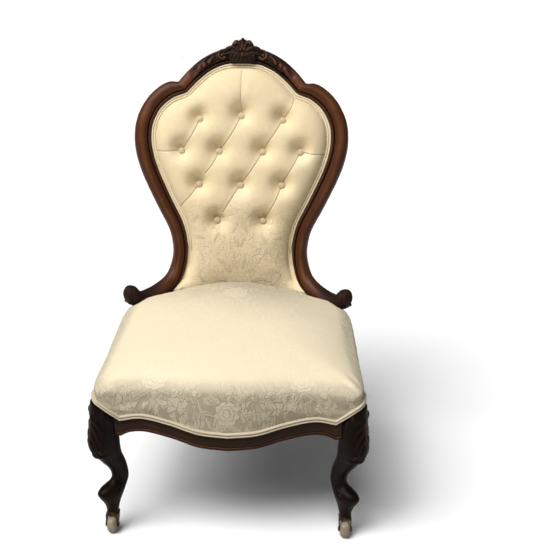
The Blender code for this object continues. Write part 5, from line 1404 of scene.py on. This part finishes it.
def makeSeat():
    piece = skin("seat_cover", seatPlaces(), capped=False)
    applyModifier(piece, "REMESH", mode="VOXEL", voxel_size=seatCover["voxel"])
    applyModifier(piece, "SMOOTH", factor=0.5, iterations=2)
    softenTop(piece)
    points, normals = getPoints(piece), getNormals(piece)
    hem = hemNear(points[:, 0], points[:, 1])
    held = (normals[:, 2] < -0.25) | (points[:, 2] < hem + 0.004)  # its underside and its hem
    off = np.abs(points[:, :2] - (0.0, seatCover["hollowY"])) < seatCover["hollowBox"]
    held |= (points[:, 2] < seatCover["hollow"] + 0.006) & off.all(axis=1)
    simulate(piece, held, seatCover["cloth"])
    setPoints(piece, clearOfStiles(getPoints(piece), seatCover["frameRoom"]))
    subdivide(piece, 1)
    points = getPoints(piece)
    nearest, reach = nearEdge(points)
    fallen = np.maximum(0.0, seatLoop[nearest, 3] - points[:, 2]) * (reach < seatCover["sideReach"])
    setUv(piece, points[:, :2] + seatOut[nearest] * fallen[:, None])
    # faded and lit where the top looks up away from the rim; the roll, front and sides keep the painted shade
    wornAndLit = ramp(getNormals(piece)[:, 2], *seatCover["wornAndLitFace"]) * (0.35 + 0.65 * ramp(reach, *seatCover["wornAndLitRim"]))
    kept = seatCover["kept"]
    near = np.exp(-(((points[:, :2] - kept["at"]) / kept["radii"]) ** 2).sum(axis=1))
    setTone(piece, wornAndLit * (1.0 - kept["share"] * near), "faded")
    shade(piece)
    settle(piece, "chair", "damask", cover, "seat_cushion")
    return piece


# Double cord: two covered cords sewn side by side, with the stitched furrow between them
cordPair = {"wide": 0.0112, "deep": 0.0054, "around": 12, "furrow": 0.30, "root": -0.002, "off": 0.0003,
            # on the back: where it ends, how it thins out there, and how it lies beside the frame
            "low": 0.462, "taper": 0.060, "sink": 0.004, "gap": 0.0006, "ahead": 0.0005}


def cordSection():  # across and out, from one edge to the other
    angle = np.linspace(math.pi, 0.0, cordPair["around"])
    wide, deep, root = cordPair["wide"], cordPair["deep"], cordPair["root"]
    bump = np.stack((np.cos(angle) * wide / 4, np.sin(angle) * deep), -1)
    section = np.vstack((bump - (wide / 4, 0.0), bump[1:] + (wide / 4, 0.0)))
    furrow = deep * cordPair["furrow"] * (np.abs(section[:, 0]) < wide * 0.4)
    section[:, 1] = np.maximum(section[:, 1], furrow)
    return np.vstack(((-wide / 2, root), section, (wide / 2, root), (-wide / 2, root)))


def makeSeatCord():
    count = int(seat["cordRows"] * seat["steps"])
    index = np.arange(-count, count + 1) % len(seatLoop)
    loop, out = seatLoop[index], seatOut[index]
    section = cordSection()
    plan = loop[:, None, :2] + out[:, None] * (section[:, 1:2] + cordPair["off"])
    places = np.dstack((plan, loop[:, None, 2] + section[:, 0]))
    piece = skin("seat_double_cord", places)
    settle(piece, "chair", "damask", seatCord, "seat_piping")


# Tufted inside back
pad = {
    "bottom": 0.392, "edge": 0.004, "flat": 0.0115, "crown": 0.034, "roll": 0.066, "tuck": 0.75, "follow": 0.75,
    "columns": 121, "rows": 153, "lap": -0.0008, "thick": 0.004,
    "tufts": ((-0.100, 0.8105), (0.0, 0.8190), (0.100, 0.8105),
              (-0.1435, 0.7370), (-0.0525, 0.7370), (0.0525, 0.7370), (0.1435, 0.7370),
              (-0.100, 0.6595), (0.0, 0.6585), (0.100, 0.6595), (-0.0555, 0.5740), (0.0555, 0.5740)),
    "dimple": 0.0255, "dimpleRadius": 0.0165, "dimpleFlat": 0.0080, "valley": 0.0022, "valleyRadius": 0.010,
    # valleys without a fold
    "faint": (((-0.1435, 0.7370), (-0.100, 0.6595)), ((-0.0525, 0.7370), (0.0, 0.6585)),
              ((0.0525, 0.7370), (0.100, 0.6595)), ((-0.100, 0.8105), (-0.0525, 0.7370)),
              ((0.0, 0.8190), (0.0525, 0.7370)), ((0.100, 0.8105), (0.1435, 0.7370)),
              ((-0.100, 0.6595), (-0.0555, 0.5740)), ((0.0, 0.6585), (0.0555, 0.5740)),
              ((-0.100, 0.8105), (-0.130, 0.8640))),
    "crease": 0.0012, "creaseRadius": 0.0018, "creased": (0.006, 0.012),
    "fan": (58, 76, 92, 108, 127), "fanRun": 0.027, "fanDeep": 0.0016,  # small folds above a button, in degrees
    "heldLow": 0.012, "heldTuft": 0.0095,  # what the cloth is held by, with its edge
    "halo": 0.0105, "haloAt": (-0.002, 0.008),  # painted shade just above a button
    "contactShade": 0.8, "contactShadeTop": 0.431, "contactShadeFall": 0.030, "contactShadeHalf": 0.12, "contactShadeRun": -0.012,  # painted shade low on the back, along the seat
    "figured": (0.012, 0.026), "figuredLow": (0.560, 0.10), "figuredShare": 0.85,  # where the figures are fresh
    "cloth": {"quality": 6, "stiff": 9.0, "bend": 0.4, "pressure": 3.5, "frames": 18, "cap": 0.0045},
}


def innerEdge():  # x and z from low on the right stile to the crest's middle
    centre, across, _, half = stileLine
    low = (centre - across * half[:, None])[:stile["openRows"] * stile["steps"]][::-1]
    centre, across, _, half = crestLine
    high = (centre - across * half[:, None])[len(centre) // 2:-1][::-1]
    kept = []
    for x, _, z in np.vstack((low, high)):
        if not kept or z > kept[-1][1]:
            kept.append((x, z))
    return np.array(kept)


inner = innerEdge()
cuspZ = stile["joint"][1] - stile["jointHalf"] * math.sin(stile["jointAngle"])
archLine = inner[inner[:, 1] >= cuspZ][::-1]


def padSpot(share, level, lap):
    z = pad["bottom"] + level * (cuspZ - pad["bottom"])
    x = (2.0 * share - 1.0) * (np.interp(z, inner[:, 1], inner[:, 0]) + lap)
    arch = np.interp(np.abs(x), archLine[:, 0], archLine[:, 1]) - cuspZ
    return x, z + level * (arch + lap)


def lineGap(x, z, start, end, bow=0.0):  # distance to a line that may bow, and share along it
    (ax, az), (bx, bz) = start, end
    length = math.hypot(bx - ax, bz - az)
    dx, dz = (bx - ax) / length, (bz - az) / length
    run = (x - ax) * dx + (z - az) * dz
    t = np.clip(run / length, 0.0, 1.0)
    aside = (z - az) * dx - (x - ax) * dz - bow * np.sin(math.pi * t)
    return np.hypot(aside, run - t * length), t


def edgeGap(x, z):
    gaps = np.full(x.shape, 1.0)
    for start, end in zip(inner[::3], inner[3::3]):
        gaps = np.minimum(gaps, lineGap(np.abs(x), z, start, end)[0])
    return gaps


def frameAhead(z):  # how far the stiles have turned forwards at a height
    low = np.array(stile["path"][stile["turnRows"]])
    return np.interp(z, low[:, 1], low[:, 2])


def padAhead(x, z):
    reach = edgeGap(x, z)
    roll = np.clip((reach - pad["flat"]) / pad["roll"], 0.0, 1.0)
    crown = np.sqrt(1.0 - (1.0 - roll) ** 2)
    tuck = np.minimum(1.0, pad["tuck"] + (1.0 - pad["tuck"]) * (z - pad["bottom"]) / pad["roll"])
    ahead = pad["edge"] + pad["follow"] * frameAhead(z) * (1.0 - crown) + pad["crown"] * crown * tuck
    slopes = (np.maximum(0.0, np.hypot(x - a, z - b) - pad["dimpleFlat"]) for a, b in pad["tufts"])
    dimple = sum(np.exp(-(slope / pad["dimpleRadius"]) ** 1.5) for slope in slopes)
    dimple = np.minimum(1.0, dimple)
    valley = np.zeros(x.shape)
    for start, end in pleats + pad["faint"]:
        valley = np.maximum(valley, np.exp(-(lineGap(x, z, start, end)[0] / pad["valleyRadius"]) ** 2))
    sunk = pad["dimple"] * dimple + pad["valley"] * valley * (1.0 - dimple)
    return ahead - sunk * crown


def creases(x, z):  # pleats, then the small folds above the buttons
    total = np.zeros(x.shape)
    for number, (start, end) in enumerate(pleats):
        gap, share = lineGap(x, z, start, end, bowOf(number))
        deep = 0.55 + 0.45 * np.sin(share * math.pi)
        total = np.maximum(total, np.exp(-(gap / pad["creaseRadius"]) ** 2) * deep)
    fan = np.zeros(x.shape)
    for number, (a, b) in enumerate(pad["tufts"]):
        for k, degrees in enumerate(pad["fan"]):
            turn = math.radians(degrees + 9.0 * math.sin(2.4 * number + 1.7 * k))
            run = pad["fanRun"] * (0.75 + 0.35 * math.sin(1.3 * number + 2.9 * k))
            end = (a + run * math.cos(turn), b + run * math.sin(turn))
            gap, share = lineGap(x, z, (a, b), end)
            fan = np.maximum(fan, np.exp(-(gap / pad["creaseRadius"]) ** 2) * (1.0 - share) ** 0.8)
    return total, fan


def makePad():
    x, z = padSpot(*shares(pad["columns"], pad["rows"]), pad["lap"])
    places = backPoint(x, z, -padAhead(x, z))
    piece = skin("tufted_back", places, closed=False)
    editAll(piece)
    bpy.ops.mesh.normals_make_consistent(inside=False)
    bpy.ops.object.mode_set(mode="OBJECT")
    faceTo(piece, 1, -1)
    start = getPoints(piece)
    px, pz = start[:, 0], start[:, 2]
    held = (edgeGap(px, pz) < pad["flat"]) | (pz < pad["bottom"] + pad["heldLow"])
    for a, b in pad["tufts"]:
        held |= np.hypot(px - a, pz - b) < pad["heldTuft"]
    simulate(piece, held, pad["cloth"])
    subdivide(piece, 1)
    points = getPoints(piece)
    px, pz = points[:, 0], points[:, 2]
    reach = edgeGap(px, pz)
    pleat, fan = creases(px, pz)
    inside = ramp(reach, *pad["creased"])
    sunk = (pad["crease"] * pleat + pad["fanDeep"] * fan) * inside
    setPoints(piece, points + backNormal(pz) * sunk[:, None])
    # painted shade in a soft patch just above each button
    besides = (points[:, [0, 2]] - tuft - pad["haloAt"] for tuft in np.array(pad["tufts"]))
    haloShade = sum(np.exp(-((beside / pad["halo"]) ** 2).sum(axis=1)) for beside in besides)
    # painted shade low on the back where it meets the seat
    contactShadeTop = pad["contactShadeTop"] - pad["contactShadeFall"] * (px / pad["contactShadeHalf"]) ** 2
    contactShade = pad["contactShade"] * ramp(pz, contactShadeTop, pad["contactShadeRun"])
    # painted shade in the small folds, above the buttons and along the seat
    setTone(piece, np.minimum(1.0, 0.60 * fan + 0.40 * haloShade) * inside + contactShade, "fold")
    figured = ramp(reach, *pad["figured"]) * (1.0 - ramp(pz, *pad["figuredLow"]))
    setTone(piece, 1.0 - pad["figuredShare"] * figured, "faded")
    setUv(piece, np.stack((px, pz), -1))
    applyModifier(piece, "SOLIDIFY", thickness=pad["thick"], offset=-1.0)
    shade(piece)
    settle(piece, "chair", "damask", backCover, "back_pad")


# Covered buttons: half width, half height, how far they stand out of the dimples, gathers of the cloth
button = {"radius": 0.0080, "rise": 0.0046, "out": 0.0020, "gathers": 6.0, "gather": 0.035, "columns": 25, "rows": 41}


def makeButtons():
    theta, phi = shares(button["columns"], button["rows"], ball)
    gather = 1.0 - button["gather"] * np.abs(np.sin(phi * button["gathers"])) * np.sin(theta) ** 4
    side = np.sin(theta) ** 0.8 * gather * button["radius"]
    rise = -np.sign(np.cos(theta)) * np.abs(np.cos(theta)) ** 0.9 * button["rise"]
    for number, (x, z) in enumerate(np.array(pad["tufts"]), 1):
        node = f"back_button_{number:02d}"
        middle = np.mean(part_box(node), axis=0)
        normal = backNormal(z)
        axes = np.array(((1.0, 0.0, 0.0), normal, (0.0, -normal[2], normal[1])))
        places = np.array((x, 0.0, z)) + np.stack((side * np.cos(phi), rise, side * np.sin(phi)), -1) @ axes
        spot = x[None], z[None]
        seated = backPoint(*spot, -padAhead(*spot) - button["out"])[0]
        print(f"{node} sits {1000 * (seated[1] - middle[1]):.1f} mm behind its solid's middle")
        places[..., 1] += seated[1]
        piece = skin(f"tuft_button_{number:02d}", places, capped=False)
        settle(piece, "chair", "damask", buttonCloth, node)


def makeBackCord():
    points = inner[inner[:, 1] > cordPair["low"]]
    path = np.vstack((points[:-1] * (-1.0, 1.0), points[::-1]))
    run = unit(np.gradient(path, axis=0))
    inward = np.stack((run[:, 1], -run[:, 0]), -1)
    section = cordSection()
    inset = cordPair["wide"] / 2 + cordPair["gap"]
    thin = ramp(path[:, 1:2], cordPair["low"], cordPair["taper"])
    flat = path[:, None] + inward[:, None] * (inset - section[:, 0] * thin)[..., None]
    ahead = pad["edge"] + cordPair["ahead"] + section[:, 1] * thin - cordPair["sink"] * (1.0 - thin)
    ahead = ahead + pad["follow"] * frameAhead(path[:, 1:2])
    places = backPoint(flat[..., 0], flat[..., 1], -ahead)
    piece = skin("back_double_cord", places)
    settle(piece, "chair", "damask", backCord, "back_piping")


# Sheets: outside back, canvases, webbing and the black cloth under the seat
sheets = {
    "panelLap": 0.012, "panelHalf": 0.2029, "panelBehind": 0.0183, "panelThick": 0.0025, "panelBulge": 0.0022,
    "panelColumns": 81, "panelRows": 91, "panelFaded": 0.45,
    "panelNarrow": 0.045, "narrowAt": 0.437, "narrowRun": 0.014,  # clear of the stile where it turns forwards
    "railBack": 0.1531, "leavesRail": 0.319, "panelLow": (0.272, 0.372, 14),  # lower part, on the rear rail
    # how far the lower corners go forwards by height, and from which share of the half width
    "drawn": ((0.392, 0.051), (0.406, 0.051), (0.4275, 0.024), (0.454, 0.0)), "drawnFrom": 0.70,
    "backLap": -0.0012, "backBehind": 0.0028, "backThick": 0.0010, "backColumns": 41, "backRows": 61,
    "coverInset": 0.027, "coverThick": 0.0008, "sag": 0.003, "rearFacing": 0.6, "frontRoom": 0.030, "rearRoom": 0.029,
    "canvasThick": 0.0012, "canvasLift": 0.0015,
    "canvasRise": ((0.0, 1.0), (0.4, 1.0), (0.78, 1.0), (0.86, 0.5), (0.94, 0.0), (1.0, 0.0)),
    "every": 4,  # places of the seat's edge to one of a sheet
    "straps": 4, "strap": 0.05, "strapThick": 0.0010, "strapSteps": 97, "weave": 0.0005,
}


def drawForwards(places, share, amount):  # sheets follow the frame at their lower edges
    heights, steps = np.array(sheets["drawn"]).T
    near = ramp(np.abs(2.0 * share - 1.0), sheets["drawnFrom"], 1.0 - sheets["drawnFrom"])
    places[..., 1] -= amount * np.interp(places[..., 2], heights, steps) * near
    return places


def makeOutsideBack():
    share, level = shares(sheets["panelColumns"], sheets["panelRows"])
    half = sheets["panelHalf"]
    x, z = padSpot(share, level, sheets["panelLap"])
    x = np.where(z < back["waist"], np.clip(x, -half, half), x)
    x = x * (1.0 - sheets["panelNarrow"] * np.exp(-((z - sheets["narrowAt"]) / sheets["narrowRun"]) ** 2))
    bulge = sheets["panelBulge"] * np.sin(share * math.pi) * np.sin(level * math.pi)
    upper = drawForwards(backPoint(x, z, sheets["panelBehind"] + bulge), share, 1.0)
    low = np.linspace(*sheets["panelLow"])
    blend = ramp(low, sheets["leavesRail"], pad["bottom"] - sheets["leavesRail"])
    lowX, lowY = (2.0 * share[:, :1] - 1.0) * half, sheets["railBack"]
    rows = lowX + (upper[:, :1, 0] - lowX) * blend, lowY + (upper[:, :1, 1] - lowY) * blend, low
    lower = np.stack(np.broadcast_arrays(*rows), -1)
    places = np.concatenate((lower, upper), axis=1)
    piece = skin("outside_back_cover", places, closed=False)
    faceTo(piece, 1, 1)
    points = getPoints(piece)
    setUv(piece, points[:, [0, 2]])
    setTone(piece, np.full(len(points), sheets["panelFaded"]), "faded")
    applyModifier(piece, "SOLIDIFY", thickness=sheets["panelThick"], offset=1.0)
    shade(piece, 40)
    settle(piece, "chair", "damask", cover, "outside_back_panel")


def seatSheet(name, loop, rises, thick):  # rings from the middle out: share of the plan and height
    loop = np.vstack((loop, loop[:1]))
    rings = [np.column_stack((seatMiddle + (loop - seatMiddle) * share, np.full(len(loop), z)))
             for share, z in rises]
    piece = skin(name, np.array(rings), capped=False)
    faceTo(piece, 2, 1)
    setUv(piece, getPoints(piece)[:, :2])
    applyModifier(piece, "SOLIDIFY", thickness=thick, offset=-1.0)
    shade(piece, 50)
    return piece


def clearOfLegs(loop):  # cut round the tops of the legs
    for leg, room in (cabriole, sheets["frontRoom"]), (rearLeg, sheets["rearRoom"]):
        for side in (-1, 1):
            off = loop - (side * leg["x"], leg["y"])
            far = np.linalg.norm(off, axis=1, keepdims=True)
            loop = loop + off / np.maximum(far, 1e-6) * np.maximum(0.0, room - far)
    return loop


def makeDustCover():
    high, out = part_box("seat_dust_cover")[1], seatOut[::sheets["every"]]
    loop = seatLoop[::sheets["every"], :2] - out * sheets["coverInset"]
    rear = out[:, 1] > sheets["rearFacing"]  # straight along the rear rail
    loop[:, 1] = np.where(rear, high[1], np.minimum(loop[:, 1], high[1]))
    rises = [(share, high[2] - sheets["sag"] * (1.0 - share ** 2)) for share in np.linspace(0.0, 1.0, 13)]
    piece = seatSheet("black_bottom_cloth", clearOfLegs(loop), rises, sheets["coverThick"])
    settle(piece, "chair", "black_cloth", blackCloth, "seat_dust_cover")


def makeSpringCanvas():
    low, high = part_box("spring_canvas")
    loop = (seatLoop[:, :2] - seatOut * seatCover["skirt"] * 2)[::sheets["every"]]
    floor = low[2] + sheets["canvasLift"]
    rises = [(share, floor + up * (high[2] - floor)) for share, up in sheets["canvasRise"]]
    piece = seatSheet("spring_hessian", loop, rises, sheets["canvasThick"])
    settle(piece, "chair", "hessian", hessian, "spring_canvas")


def strapPlaces(start, end, over, crossings, up):  # one strap, over and under the ones it meets
    share = np.linspace(0.0, 1.0, sheets["strapSteps"])
    run = np.array(end) - start
    line = start + run * share[:, None]
    side = unit((-run[1], run[0]))
    wave = np.interp(share, crossings, [up * (-1) ** k for k in range(len(crossings))])
    height = over + np.sin(wave * math.pi / 2) * sheets["weave"]
    half, thick = sheets["strap"] / 2, sheets["strapThick"] / 2
    section = ((-half, -thick), (-half, thick), (0.0, thick), (half, thick), (half, -thick), (0.0, -thick),
               (-half, -thick))
    rings = [np.column_stack((line + side * a, height + b)) for a, b in section]
    return np.array(rings).transpose(1, 0, 2)


def makeWebbing():
    low, high = (np.array(corner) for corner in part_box("seat_webbing"))
    inset = seat["halfWidth"] - high[0]
    loop = seatLoop[:, :2] - seatOut * inset
    sides = loop[(loop[:, 0] > 0.15) & (loop[:, 1] > low[1] + 0.05)]
    sides = sides[np.argsort(sides[:, 1])]
    fronts = loop[loop[:, 1] < low[1] + 0.06]
    fronts = fronts[np.argsort(fronts[:, 0])]
    middle = (low[2] + high[2]) / 2
    count, strap = sheets["straps"], sheets["strap"]
    pitch = (high - low - count * strap) / (count + 1) + strap
    marksX, marksY, _ = (low + pitch * np.arange(1, count + 1)[:, None] - strap / 2).T
    straps = []
    for k, y in enumerate(marksY):
        half = min(np.interp(y + off, sides[:, 1], sides[:, 0]) for off in (-strap / 2, strap / 2))
        marks = (marksX + half) / (2 * half)
        straps.append(skin(f"strap_across_{k}", strapPlaces((-half, y), (half, y), middle, marks, (-1) ** k)))
    for k, x in enumerate(marksX):
        front = max(np.interp(x + off, fronts[:, 0], fronts[:, 1]) for off in (-strap / 2, strap / 2))
        marks = (marksY - front) / (high[1] - front)
        straps.append(skin(f"strap_along_{k}", strapPlaces((x, front), (x, high[1]), middle, marks, -(-1) ** k)))
    piece = join(straps, "jute_webbing")
    setUv(piece, getPoints(piece)[:, :2])
    shade(piece, 40)
    settle(piece, "chair", "hessian", webCloth, "seat_webbing")


def makeBackCanvas():
    share, level = shares(sheets["backColumns"], sheets["backRows"])
    places = backPoint(*padSpot(share, level, sheets["backLap"]), sheets["backBehind"])
    piece = skin("back_hessian", drawForwards(places, share, pad["follow"]), closed=False)
    faceTo(piece, 1, 1)
    setUv(piece, getPoints(piece)[:, [0, 2]])
    applyModifier(piece, "SOLIDIFY", thickness=sheets["backThick"], offset=1.0)
    shade(piece, 40)
    settle(piece, "chair", "hessian", hessian, "back_canvas")


makeSeat()
makeSeatCord()
makePad()
makeButtons()
makeBackCord()
makeOutsideBack()
makeBackCanvas()
makeDustCover()
makeSpringCanvas()
makeWebbing()
print("upholstery made")
